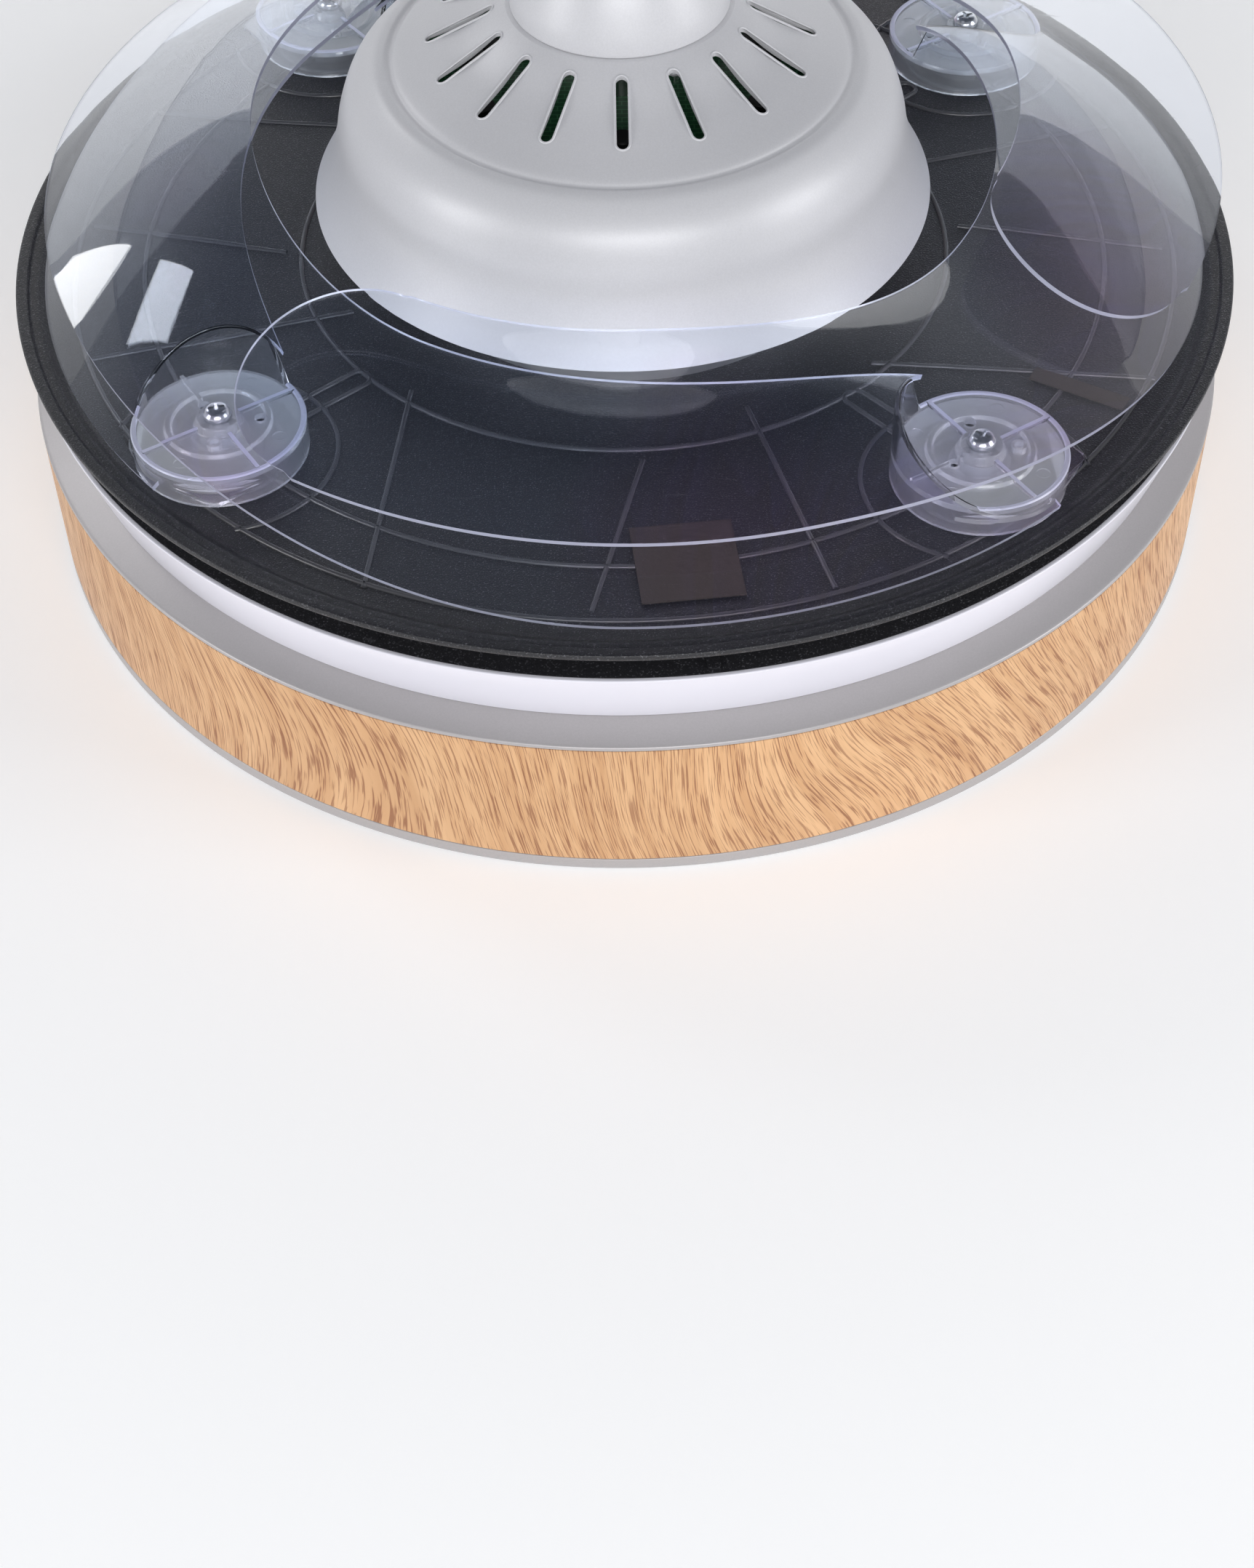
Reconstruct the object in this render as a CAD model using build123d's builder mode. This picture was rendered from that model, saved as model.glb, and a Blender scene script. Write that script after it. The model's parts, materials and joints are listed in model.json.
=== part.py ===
from build123d import *
import math
import os

# Retractable-blade ceiling fan with a round drum light, standing on the rim of its drum.
#
# Millimetres, +Z up.  The origin is the centre of the drum's bottom rim.  Everything turns about Z:
# the light, motor shaft, housing, downrod and ceiling bracket stand still, the motor case and the blade
# tray spin on two ball bearings, and four clear blades swing out from the tray on upright pivots.

os.makedirs("parts", exist_ok=True)

# ---------------------------------------------------------------- driving sizes: drum light
drum_radius = 250.0
drum_skin = 1.2
trim_height = 5.7
trim_wall = 4.0
trim_lip = 10.0
trim_lip_thickness = 1.5
wood_height = 61.2
pan_wall = 1.2
pan_top_thickness = 1.6
shoulder_height = 6.3
shoulder_width = 12.0
ring_height = 26.4
ring_flare = 8.4
ring_wall = 2.2
deck_thickness = 2.0
deck_rib_count = 12
diffuser_thickness = 2.5
diffuser_clearance = 0.5

# ---------------------------------------------------------------- driving sizes: lamp parts
led_board_outer = 215.0
led_board_inner = 70.0
led_board_thickness = 1.6
led_rows = {90.0: 16, 140.0: 28, 190.0: 40}
led_size = 5.0
led_height = 0.9
driver_length = 80.0
driver_width = 34.0
driver_height = 24.0
driver_offset = 38.0
driver_corner = 4.0

# ---------------------------------------------------------------- driving sizes: motor
shaft_radius = 8.5
shaft_bore = 5.5
shaft_nut_width = 27.0
shaft_nut_height = 9.0
shaft_nut_sides = 6
bearing_outer = 20.0
bearing_width = 12.0
bearing_race = 3.0
bearing_ball_count = 8
bearing_fit = 0.02
case_radius = 92.0
case_wall = 4.0
case_height = 54.0
case_bolt_count = 6
magnet_thickness = 8.0
magnet_height = 26.0
stator_air_gap = 0.6
stator_height = 24.0
stator_slots = 18
slot_mouth = 3.0
coil_gap = 0.4

# ---------------------------------------------------------------- driving sizes: tray and blades
tray_clearance = 7.3
tray_floor = 3.0
tray_rim_radius = 250.0
tray_rim_width = 9.0
tray_rim_rise = 6.3
pivot_pitch = 202.5
first_pivot_angle = 40.3
blade_count = 4
pivot_boss_radius = 15.0
pivot_boss_height = 2.4
post_radius = 4.0
pivot_fit = 0.05
hub_radius = 33.5
hub_wall = 2.2
hub_disc_thickness = 2.5
hub_disc_depth = 12.0
blade_thickness = 2.0
blade_sweep = 175.0
loose_blade = "back_left"
loose_blade_angle = 4.5

# ---------------------------------------------------------------- driving sizes: housing and hanger
bell_wall = 1.6
bell_vents = 16
vent_inner = 49.0
vent_outer = 76.0
vent_width = 5.0
yoke_cover_radius = 42.6
yoke_cover_height = 46.0
rod_radius = 13.3
rod_wall = 2.3
rod_length = 166.0
ball_radius = 27.0
canopy_radius = 72.0
canopy_height = 58.0
canopy_wall = 1.4
bracket_length = 138.0
bracket_width = 42.0
bracket_thickness = 3.0
bracket_bolt_spacing = 88.9
bracket_bolt_radius = 2.6

# ---------------------------------------------------------------- small named sizes
full_turn = 360.0
running_gap = 0.3
slip_fit = 0.05
hole_clearance = 0.05
screw_radius = 2.0
screw_head_radius = 4.0
screw_head_height = 3.0
slim_screw_radius = 1.5
slim_head_radius = 3.0
slim_head_height = 2.0
cross_length = 1.3
cross_width = 1.0
cross_depth = 0.9
shaft_washer = 1.6
shaft_tail = 4.0
board_seat = 3.0
board_seat_radius = 24.0
control_board_z = 186.0
control_board_thickness = 1.6
control_board_radius = 84.0
board_screws_per_board = 3
capacitor_pitch = 58.0
capacitor_count = 8
capacitor_radius = 5.0
capacitor_height = 12.0
capacitor_edge = 0.8
chip_size = 9.0
chip_height = 3.0
bearing_lip = 3.0
stator_yoke_outer = 44.0
stator_bore = 26.0
tooth_width = 8.0
tooth_overlap = 1.0
shoe_depth = 3.5
shoe_cut_length = 14.0
coil_build = 2.4
hub_web = 18.0
tray_hole_radius = 30.0
tray_floor_radius = 238.0
rim_lip_height = 2.0
rim_lip_width = 4.4
rim_chamfer = 1.0
rim_step = 1.8
case_bolt_pitch = 82.0
thread_radius = 3.0
pivot_head_radius = 5.5
pivot_head_height = 4.1
pivot_head_round = 1.6
spring_radius = 10.6
spring_wire = 0.8
spring_pitch = 2.2
spring_height = 6.6
hub_boss_rise = 3.4
hub_boss_radius = 8.2
hub_rib_width = 1.6
hub_rib_height = 1.3
hub_rib_angle = -8.0
hub_ring_radius = 20.0
hub_lip = 1.0
hub_hole_radius = 2.4
hub_holes = ((16.0, 148.0), (12.5, 262.0), (14.0, 49.0))
root_corners = ((39.7, 52.0), (36.4, 321.0))
root_web_thickness = 2.0
wall_tuck = 0.1
tray_rib_inner_gap = 9.0
tray_rib_outer_gap = 3.0
tray_rib_count = 16
tray_rib_start = 15.0
tray_rib_width = 1.6
tray_rib_height = 0.8
tray_circle_radii = (134.0, 198.0)
tray_boss_pitch = 152.0
tray_boss_length = 34.0
tray_boss_width = 9.0
tray_boss_height = 1.6
balance_pads = ((198.0, 276.0, 40.0, 38.0), (204.0, 329.5, 39.0, 8.0))
pad_thickness = 0.6
inner_edge_height = 34.0
inner_edge_rise = 20.0
inner_rise_start = 70.0
inner_rise_sweep = 60.0
root_drop = 18.0
root_drop_sweep = 13.0
outer_edge_height = 2.0
outer_edge_rise = 34.0
outer_rise_start = 40.0
outer_rise_sweep = 75.0
blade_inner_radius = 147.0
blade_root_flare = 23.0
blade_waist_sweep = 115.0
blade_outer_radius = 238.5
blade_outer_spiral = 12.0
blade_curve = 1.6
blade_flare_power = 4
arch_steps = 6
root_start = -1.5
root_stretch = 7.0
root_stations = 4
tip_overrun = 1.0
wedge_steps = 4
shell_stations = 12
blade_room = 90.0
vent_depth = 24.0
bell_screw_pitch = 23.0
bell_screw_count = 3
bell_screw_head = 3.4
yoke_flange_radius = 27.0
yoke_flange_thickness = 3.0
yoke_radius = 18.5
yoke_socket = 22.0
yoke_neck = 17.0
pin_radius = 3.0
yoke_pin_length = 44.0
ball_pin_length = 50.0
set_screw_radius = 2.5
set_screw_length = 9.0
cover_gap = 1.2
cover_neck = 2.4
cover_profile = ((0.0, 0.0), (1.2, 0.196), (7.5, 0.522), (19.0, 0.848))
ball_flat = 18.0
ball_below_rod_top = 12.0
ball_headroom = 2.0
seat_outer = 35.0
seat_height = 9.0
seat_mouth = 3.0
leg_width = 22.0
tab_inset = 0.3
tab_width = 16.0
tab_drop = 14.0
canopy_round = 26.0
canopy_screw_length = 6.0
bell_outline = [
    (125.0, 141.0),
    (119.5, 151.0),
    (114.8, 164.0),
    (112.0, 177.0),
    (107.0, 189.0),
    (98.5, 197.6),
    (93.5, 199.6),
    (90.5, 199.2),
    (87.5, 201.2),
    (76.0, 205.8),
    (62.0, 211.8),
    (50.0, 219.2),
    (44.0, 222.5),
]
shoulder_edge = 1.4
shoulder_seat = 14.0
ring_ledge = 4.0
ring_foot = 10.0
spacer_radius = 13.0
deck_hole_gap = 1.0
deck_rib_length = 16.0
deck_rib_width = 5.0
deck_rib_height = 0.8
deck_rib_inset = 1.5
deck_rib_start = 7.0
deck_post_pitch = 180.0
deck_post_count = 6
deck_post_radius = 5.0
board_screw_pitch = 165.0
board_screw_count = 8

# ---------------------------------------------------------------- levels worked out from them
wood_top = trim_height + wood_height
pan_top = wood_top
ring_bottom = wood_top + shoulder_height
ring_top = ring_bottom + ring_height
deck_top = ring_top
tray_bottom = deck_top + tray_clearance
tray_top = tray_bottom + tray_floor
rim_top = tray_top + tray_rim_rise
case_bottom = tray_top
case_split = case_bottom + case_height / 2
case_top = case_bottom + case_height
lower_bearing_z = case_bottom + case_wall
upper_bearing_z = case_top - case_wall - bearing_width
stator_middle = (lower_bearing_z + upper_bearing_z + bearing_width) / 2
bell_top = bell_outline[-1][1]
yoke_socket_floor = bell_top + yoke_neck
yoke_top = yoke_socket_floor + yoke_socket
rod_bottom = yoke_socket_floor
rod_top = rod_bottom + rod_length
ball_centre = rod_top - ball_below_rod_top
canopy_top = ball_centre + ball_radius + ball_headroom + bracket_thickness
canopy_bottom = canopy_top - canopy_height
magnet_inner = case_radius - case_wall - magnet_thickness
stator_radius = magnet_inner - stator_air_gap
board_top = pan_top - pan_top_thickness
board_bottom = board_top - led_board_thickness
diffuser_radius = drum_radius - trim_wall - diffuser_clearance
shaft_bottom = board_top - shaft_washer - shaft_nut_height - shaft_tail
shaft_top = yoke_socket_floor - shaft_tail / 2
case_top_race = upper_bearing_z + bearing_width
tray_rib_low = case_radius + tray_rib_inner_gap
tray_rib_high = tray_floor_radius - tray_rib_outer_gap
ball_bearing_radius = (bearing_outer - bearing_race - shaft_radius - bearing_race) / 2
control_board_top = control_board_z + control_board_thickness
board_screw_circle = board_seat_radius - slim_head_radius - hole_clearance
shoulder_low = tray_top + pivot_boss_height
hub_bottom = shoulder_low + running_gap
hub_disc_top = hub_bottom + hub_disc_depth
hub_disc_low = hub_disc_top - hub_disc_thickness
hub_boss_top = hub_disc_top + hub_boss_rise
root_web_low = rim_top + outer_edge_height
pivot_head_low = hub_boss_top + running_gap
yoke_pin_z = yoke_socket_floor + yoke_socket / 2
set_screw_z = (bell_top + yoke_flange_thickness + shaft_top) / 2
cover_bottom = bell_top + running_gap
cover_top = cover_bottom + yoke_cover_height
canopy_screw_z = canopy_top - bracket_thickness - tab_drop / 2


def save(piece, name):
    """Label a finished piece and write it as one STEP file."""
    piece.label = name
    export_step(piece, f"parts/{name}.step")


def ring(outer, inner, low, high):
    """A plain tube standing on Z between two heights."""
    with BuildPart() as tube:
        with BuildSketch(Plane.XY.offset(low)):
            Circle(outer)
            Circle(inner, mode=Mode.SUBTRACT)
        extrude(amount=high - low)
    return tube.part


def disc(radius, low, high):
    """A plain round plate between two heights."""
    with BuildPart() as plate:
        with BuildSketch(Plane.XY.offset(low)):
            Circle(radius)
        extrude(amount=high - low)
    return plate.part


def turned(*points):
    """A solid of revolution from its (radius, height) corners."""
    with BuildPart() as body:
        with BuildSketch(Plane.XZ):
            with BuildLine():
                Polyline(*points, close=True)
            make_face()
        revolve(axis=Axis.Z)
    return body.part


def polar(radius, count, start=0.0):
    """Places spaced evenly on a circle about Z."""
    return PolarLocations(radius, count, start_angle=start)


# ================================================================ drum light
def build_bottom_trim():
    inner = drum_radius - trim_wall
    return turned(
        (drum_radius, 0),
        (drum_radius, trim_height),
        (inner, trim_height),
        (inner, trim_lip_thickness),
        (inner - trim_lip, trim_lip_thickness),
        (inner - trim_lip, 0),
    )


def build_drum_pan():
    """Steel pan: a wall standing on the trim and a top plate drilled for the shaft and the lamp screws."""
    outer = drum_radius - drum_skin
    with BuildPart() as pan:
        add(ring(outer, outer - pan_wall, trim_height, pan_top))
        add(ring(outer, shaft_radius + hole_clearance, pan_top - pan_top_thickness, pan_top))
        with BuildSketch(Plane.XY.offset(pan_top)):
            with polar(board_screw_pitch, board_screw_count):
                Circle(slim_screw_radius + hole_clearance)
        extrude(amount=-pan_top_thickness, mode=Mode.SUBTRACT)
    return pan.part


def build_shoulder_ring():
    """Silver ring that slopes in from the wood band to the foot of the white ring."""
    inner = drum_radius - shoulder_width
    return turned(
        (drum_radius, wood_top),
        (drum_radius, wood_top + shoulder_edge),
        (inner, ring_bottom),
        (inner - shoulder_seat, ring_bottom),
        (inner - shoulder_seat, wood_top),
    )


def build_white_ring():
    """White ring that flares upwards, with a foot below and a ledge for the deck above."""
    foot = drum_radius - shoulder_width
    lip = foot + ring_flare
    slope = ring_flare / ring_height
    ledge = ring_top - deck_thickness
    return turned(
        (foot, ring_bottom),
        (lip, ring_top),
        (lip - ring_wall, ring_top),
        (lip - ring_wall, ledge),
        (lip - ring_wall - ring_ledge, ledge),
        (lip - ring_wall - ring_ledge, ledge - ring_wall),
        (lip - ring_wall - slope * (deck_thickness + ring_wall), ledge - ring_wall),
        (foot + slope * ring_wall - ring_wall, ring_bottom + ring_wall),
        (foot - ring_foot, ring_bottom + ring_wall),
        (foot - ring_foot, ring_bottom),
    )


def build_deck():
    """Black deck over the lamp, with raised oblong bosses just inside its edge."""
    edge = drum_radius - shoulder_width + ring_flare - ring_wall - slip_fit
    with BuildPart() as deck:
        add(ring(edge, spacer_radius + deck_hole_gap, deck_top - deck_thickness, deck_top))
        with BuildSketch(Plane.XY.offset(deck_top)):
            with polar(edge - deck_rib_length / 2 - deck_rib_inset, deck_rib_count, deck_rib_start):
                SlotOverall(deck_rib_length, deck_rib_width)
        extrude(amount=deck_rib_height)
    return deck.part


def build_deck_posts():
    posts = []
    for place in polar(deck_post_pitch, deck_post_count):
        with BuildPart() as post:
            with BuildSketch(Plane.XY.offset(pan_top)):
                with Locations(place.position):
                    Circle(deck_post_radius)
            extrude(amount=deck_top - deck_thickness - pan_top)
        posts.append(post.part)
    return Compound(children=posts)


save(build_bottom_trim(), "bottom_trim")
save(ring(drum_radius, drum_radius - drum_skin, trim_height, wood_top), "wood_band")
save(build_drum_pan(), "drum_pan")
save(build_shoulder_ring(), "shoulder_ring")
save(build_white_ring(), "white_ring")
save(build_deck(), "deck_cover")
save(build_deck_posts(), "deck_posts")


# ================================================================ lamp
def build_lamp_board():
    with BuildPart() as board:
        add(ring(led_board_outer, led_board_inner, board_bottom, board_top))
        with BuildSketch(Plane.XY.offset(board_top)):
            with polar(board_screw_pitch, board_screw_count):
                Circle(slim_screw_radius + hole_clearance)
        extrude(amount=-led_board_thickness, mode=Mode.SUBTRACT)
    return board.part


def build_lamp_chips():
    chips = []
    for row_radius, count in led_rows.items():
        for place in polar(row_radius, count):
            with BuildPart() as chip:
                with BuildSketch(Plane.XY.offset(board_bottom)):
                    with Locations(place):
                        Rectangle(led_size, led_size)
                extrude(amount=-led_height)
            chips.append(chip.part)
    return Compound(children=chips)


def build_screws(radius, count, head_face, shank_top, shank_radius, head_radius, head_height, start=0.0):
    """Pan-head screws pointing up from head_face, or down when shank_top is below it."""
    away = -1 if shank_top > head_face else 1
    screws = []
    for place in polar(radius, count, start):
        with BuildPart() as screw:
            with BuildSketch(Plane.XY.offset(head_face)):
                with Locations(place.position):
                    Circle(head_radius)
            extrude(amount=away * head_height)
            head_end = Plane.XY.offset(head_face + away * head_height)
            with BuildSketch(head_end):
                with Locations(place.position):
                    Rectangle(head_radius * cross_length, cross_width)
                    Rectangle(cross_width, head_radius * cross_length)
            extrude(amount=-away * cross_depth, mode=Mode.SUBTRACT)
            with BuildSketch(Plane.XY.offset(head_face)):
                with Locations(place.position):
                    Circle(shank_radius)
            extrude(amount=shank_top - head_face)
        screws.append(screw.part)
    return Compound(children=screws)


def build_driver():
    with BuildPart() as driver:
        with BuildSketch(Plane.XY.offset(board_top)):
            with Locations((0, driver_offset)):
                RectangleRounded(driver_length, driver_width, driver_corner)
        extrude(amount=-driver_height)
    return driver.part


save(build_lamp_board(), "lamp_board")
save(build_lamp_chips(), "lamp_chips")
save(
    build_screws(
        board_screw_pitch, board_screw_count, board_bottom, pan_top,
        slim_screw_radius, slim_head_radius, slim_head_height,
    ),
    "lamp_board_screws",
)
save(build_driver(), "lamp_driver")
save(disc(diffuser_radius, trim_lip_thickness, trim_lip_thickness + diffuser_thickness), "diffuser")


# ================================================================ shaft and bearings
def build_shaft():
    return ring(shaft_radius, shaft_bore, shaft_bottom, shaft_top)


def build_shaft_nut():
    with BuildPart() as nut:
        with BuildSketch(Plane.XY.offset(board_top - shaft_washer)):
            RegularPolygon(shaft_nut_width / 2, shaft_nut_sides, major_radius=False)
            Circle(shaft_radius + hole_clearance, mode=Mode.SUBTRACT)
        extrude(amount=-shaft_nut_height)
    return nut.part


def build_bearing(low):
    """Ball bearing: two races and a ring of balls, as separate solids in one node."""
    high = low + bearing_width
    middle = (low + high) / 2
    pitch = (bearing_outer + shaft_radius) / 2
    races = [
        ring(bearing_outer, bearing_outer - bearing_race, low, high),
        ring(shaft_radius + bearing_race, shaft_radius + bearing_fit, low, high),
    ]
    balls = []
    for place in polar(pitch, bearing_ball_count):
        with BuildPart() as ball:
            with Locations((place.position.X, place.position.Y, middle)):
                Sphere(ball_bearing_radius)
        balls.append(ball.part)
    return races, balls


def build_upper_spacer():
    """Sleeve over the shaft with a flange that carries the control board."""
    with BuildPart() as spacer:
        add(ring(spacer_radius, shaft_radius + hole_clearance, case_top_race, bell_top - bell_wall))
        flange_low = control_board_z - board_seat
        add(ring(board_seat_radius, shaft_radius + hole_clearance, flange_low, control_board_z))
        with BuildSketch(Plane.XY.offset(control_board_z)):
            with polar(board_screw_circle, board_screws_per_board):
                Circle(slim_screw_radius + hole_clearance)
        extrude(amount=-board_seat, mode=Mode.SUBTRACT)
    return spacer.part


def build_control_board():
    with BuildPart() as board:
        add(ring(control_board_radius, spacer_radius + hole_clearance, control_board_z, control_board_top))
        with BuildSketch(Plane.XY.offset(control_board_top)):
            with polar(board_screw_circle, board_screws_per_board):
                Circle(slim_screw_radius + hole_clearance)
        extrude(amount=-control_board_thickness, mode=Mode.SUBTRACT)
    return board.part


def build_board_parts():
    """Capacitors and chips standing on the control board."""
    pieces = []
    for place in polar(capacitor_pitch, capacitor_count):
        with BuildPart() as can:
            with BuildSketch(Plane.XY.offset(control_board_top)):
                with Locations(place.position):
                    Circle(capacitor_radius)
            extrude(amount=capacitor_height)
            fillet(can.edges().group_by(Axis.Z)[-1], radius=capacitor_edge)
        pieces.append(can.part)
    for place in polar(capacitor_pitch, capacitor_count, start=full_turn / 2 / capacitor_count):
        with BuildPart() as chip:
            with BuildSketch(Plane.XY.offset(control_board_top)):
                with Locations(place):
                    Rectangle(chip_size, chip_size)
            extrude(amount=chip_height)
        pieces.append(chip.part)
    return Compound(children=pieces)


save(build_shaft(), "motor_shaft")
save(build_shaft_nut(), "shaft_nut")
save(
    ring(shaft_nut_width / 2, shaft_radius + hole_clearance, board_top - shaft_washer, board_top),
    "shaft_washer",
)
save(ring(spacer_radius, shaft_radius + hole_clearance, pan_top, lower_bearing_z), "lower_spacer")
save(build_upper_spacer(), "upper_spacer")
save(build_control_board(), "control_board")
save(build_board_parts(), "control_board_parts")
save(
    build_screws(
        board_screw_circle, board_screws_per_board, control_board_top, control_board_z - board_seat,
        slim_screw_radius, slim_head_radius, slim_head_height,
    ),
    "control_board_screws",
)


# ================================================================ motor
def build_case_half(plate_low, plate_high, wall_low, wall_high, boss_low, boss_high):
    """One half of the motor case: end plate, outer wall and bearing boss, with threaded bolt holes."""
    with BuildPart() as half:
        add(ring(case_radius, bearing_outer - bearing_lip, plate_low, plate_high))
        add(ring(case_radius, case_radius - case_wall, wall_low, wall_high))
        add(ring(bearing_outer + case_wall, bearing_outer + bearing_fit, boss_low, boss_high))
    return half.part


def build_stator_core():
    """Laminated core: a hub ring, parallel teeth and curved tooth shoes."""
    low = stator_middle - stator_height / 2
    with BuildPart() as core:
        with BuildSketch(Plane.XY.offset(low)):
            Circle(stator_yoke_outer)
            with polar((stator_yoke_outer + stator_radius) / 2 - tooth_overlap, stator_slots):
                Rectangle(stator_radius - stator_yoke_outer, tooth_width)
            with BuildSketch(mode=Mode.ADD):
                Circle(stator_radius)
                Circle(stator_radius - shoe_depth, mode=Mode.SUBTRACT)
                with polar(stator_radius, stator_slots, start=full_turn / 2 / stator_slots):
                    Rectangle(shoe_cut_length, slot_mouth, mode=Mode.SUBTRACT)
            Circle(stator_bore, mode=Mode.SUBTRACT)
        extrude(amount=stator_height)
    return core.part


def build_stator_coils():
    coils = []
    middle_radius = (stator_yoke_outer + stator_radius - shoe_depth) / 2
    radial = stator_radius - shoe_depth - stator_yoke_outer - 2 * coil_gap
    for place in polar(middle_radius, stator_slots):
        with BuildPart() as coil:
            with BuildSketch(Plane.XY.offset(stator_middle)):
                with Locations(place):
                    Rectangle(radial, tooth_width + 2 * coil_gap + 2 * coil_build)
            extrude(amount=stator_height / 2 + coil_gap + coil_build, both=True)
            with BuildSketch(Plane.XY.offset(stator_middle)):
                with Locations(place):
                    Rectangle(2 * radial, tooth_width + 2 * coil_gap)
            extrude(amount=stator_height / 2 + coil_gap, both=True, mode=Mode.SUBTRACT)
        coils.append(coil.part)
    return Compound(children=coils)


def build_stator_hub():
    """Carrier between the shaft and the core, clear of both bearing bosses."""
    return turned(
        (shaft_radius + hole_clearance, lower_bearing_z + bearing_width),
        (shaft_radius + bearing_race, lower_bearing_z + bearing_width),
        (shaft_radius + bearing_race, stator_middle - hub_web / 2),
        (stator_bore - hole_clearance, stator_middle - hub_web / 2),
        (stator_bore - hole_clearance, stator_middle + hub_web / 2),
        (shaft_radius + bearing_race, stator_middle + hub_web / 2),
        (shaft_radius + bearing_race, upper_bearing_z),
        (shaft_radius + hole_clearance, upper_bearing_z),
    )


def save_bearing(low, name):
    races, balls = build_bearing(low)
    save(Compound(children=[races[0]]), f"{name}_outer_race")
    save(Compound(children=[races[1]] + balls), f"{name}_inner_race")


save(
    build_case_half(
        case_bottom, case_bottom + case_wall, case_bottom + case_wall, case_split,
        case_bottom + case_wall, case_bottom + case_wall + bearing_width,
    ),
    "motor_case_lower",
)
save(
    build_case_half(
        case_top - case_wall, case_top, case_split, case_top - case_wall,
        upper_bearing_z, case_top - case_wall,
    ),
    "motor_case_upper",
)
save(
    ring(
        case_radius - case_wall, magnet_inner,
        stator_middle - magnet_height / 2, stator_middle + magnet_height / 2,
    ),
    "magnet_ring",
)
save(build_stator_core(), "stator_core")
save(build_stator_coils(), "stator_coils")
save(build_stator_hub(), "stator_hub")
save_bearing(lower_bearing_z, "lower_bearing")
save_bearing(upper_bearing_z, "upper_bearing")


# ================================================================ blade tray
def build_tray():
    with BuildPart() as tray:
        add(
            turned(
                (tray_hole_radius, tray_bottom),
                (tray_floor_radius + tray_floor / 2, tray_bottom),
                (tray_rim_radius - tray_rim_width / 2, tray_bottom + tray_rim_rise / 2),
                (tray_rim_radius, rim_top - rim_lip_height),
                (tray_rim_radius, rim_top - rim_chamfer),
                (tray_rim_radius - rim_chamfer, rim_top),
                (tray_rim_radius - rim_lip_width, rim_top),
                (tray_rim_radius - rim_lip_width - rim_chamfer, rim_top - rim_step),
                (tray_floor_radius + tray_floor, rim_top - rim_step),
                (tray_floor_radius, tray_top),
                (tray_hole_radius, tray_top),
            )
        )
        with BuildSketch(Plane.XY.offset(tray_top)):
            with polar(pivot_pitch, blade_count, first_pivot_angle):
                Circle(pivot_boss_radius)
        extrude(amount=pivot_boss_height)
        with BuildSketch(Plane.XY.offset(tray_top)):
            with polar((tray_rib_low + tray_rib_high) / 2, tray_rib_count, tray_rib_start):
                Rectangle(tray_rib_high - tray_rib_low, tray_rib_width)
            for circle_radius in tray_circle_radii:
                Circle(circle_radius + tray_rib_width / 2)
                Circle(circle_radius - tray_rib_width / 2, mode=Mode.SUBTRACT)
        extrude(amount=tray_rib_height)
        with BuildSketch(Plane.XY.offset(tray_top)):
            with polar(tray_boss_pitch, blade_count, first_pivot_angle):
                SlotOverall(tray_boss_length, tray_boss_width)
        extrude(amount=tray_boss_height)
        with BuildSketch(Plane.XY.offset(tray_top + pivot_boss_height)):
            with polar(pivot_pitch, blade_count, first_pivot_angle):
                Circle(thread_radius + hole_clearance)
            with polar(case_bolt_pitch, case_bolt_count):
                Circle(screw_radius + hole_clearance)
        extrude(amount=-(tray_floor + pivot_boss_height), mode=Mode.SUBTRACT)
    return tray.part


def build_pivot_screws():
    """Shoulder screws: thread in the tray's boss, smooth shoulder in the hub, cross-recessed pan head."""
    screws = []
    for place in polar(pivot_pitch, blade_count, first_pivot_angle):
        spot = Locations(place.position)
        with BuildPart() as screw:
            for radius, low, high in (
                (thread_radius, tray_bottom, shoulder_low),
                (post_radius, shoulder_low, pivot_head_low),
                (pivot_head_radius, pivot_head_low, pivot_head_low + pivot_head_height),
            ):
                with BuildSketch(Plane.XY.offset(low)):
                    with spot:
                        Circle(radius)
                extrude(amount=high - low)
            fillet(screw.edges().group_by(Axis.Z)[-1], radius=pivot_head_round)
            with BuildSketch(Plane.XY.offset(pivot_head_low + pivot_head_height)):
                with spot:
                    Rectangle(pivot_head_radius * cross_length, cross_width)
                    Rectangle(cross_width, pivot_head_radius * cross_length)
            extrude(amount=-2 * cross_depth, mode=Mode.SUBTRACT)
        screws.append(screw.part)
    return Compound(children=screws)


def build_return_springs():
    """Coil springs standing on the tray's bosses inside the hub cups."""
    springs = []
    for place in polar(pivot_pitch, blade_count, first_pivot_angle):
        middle = (place.position.X, place.position.Y, shoulder_low + spring_wire)
        with BuildPart() as spring:
            with BuildLine() as coil:
                Helix(pitch=spring_pitch, height=spring_height, radius=spring_radius, center=middle)
            with BuildSketch(Plane(coil.line @ 0, z_dir=coil.line % 0)):
                Circle(spring_wire)
            sweep()
        springs.append(spring.part)
    return Compound(children=springs)


def build_balance_pads():
    """Two stuck-on balance weights, thin pads that follow the tray's floor."""
    pads = []
    for radius, angle, length, width in balance_pads:
        with BuildPart() as pad:
            with BuildSketch(Plane.XY.offset(tray_top + tray_rib_height)):
                with polar(radius, 1, angle):
                    Rectangle(length, width)
            extrude(amount=pad_thickness)
        pads.append(pad.part)
    return Compound(children=pads)


save(build_tray(), "blade_tray")
save(build_pivot_screws(), "pivot_screws")
save(build_return_springs(), "return_springs")
save(build_balance_pads(), "balance_pads")
save(
    build_screws(
        case_bolt_pitch, case_bolt_count, tray_bottom, case_bottom,
        screw_radius, screw_head_radius, screw_head_height,
    ),
    "tray_screws",
)


# ================================================================ blades
def smooth(share):
    """Ease from 0 to 1."""
    share = min(max(share, 0.0), 1.0)
    return share * share * (3 - 2 * share)


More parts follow.
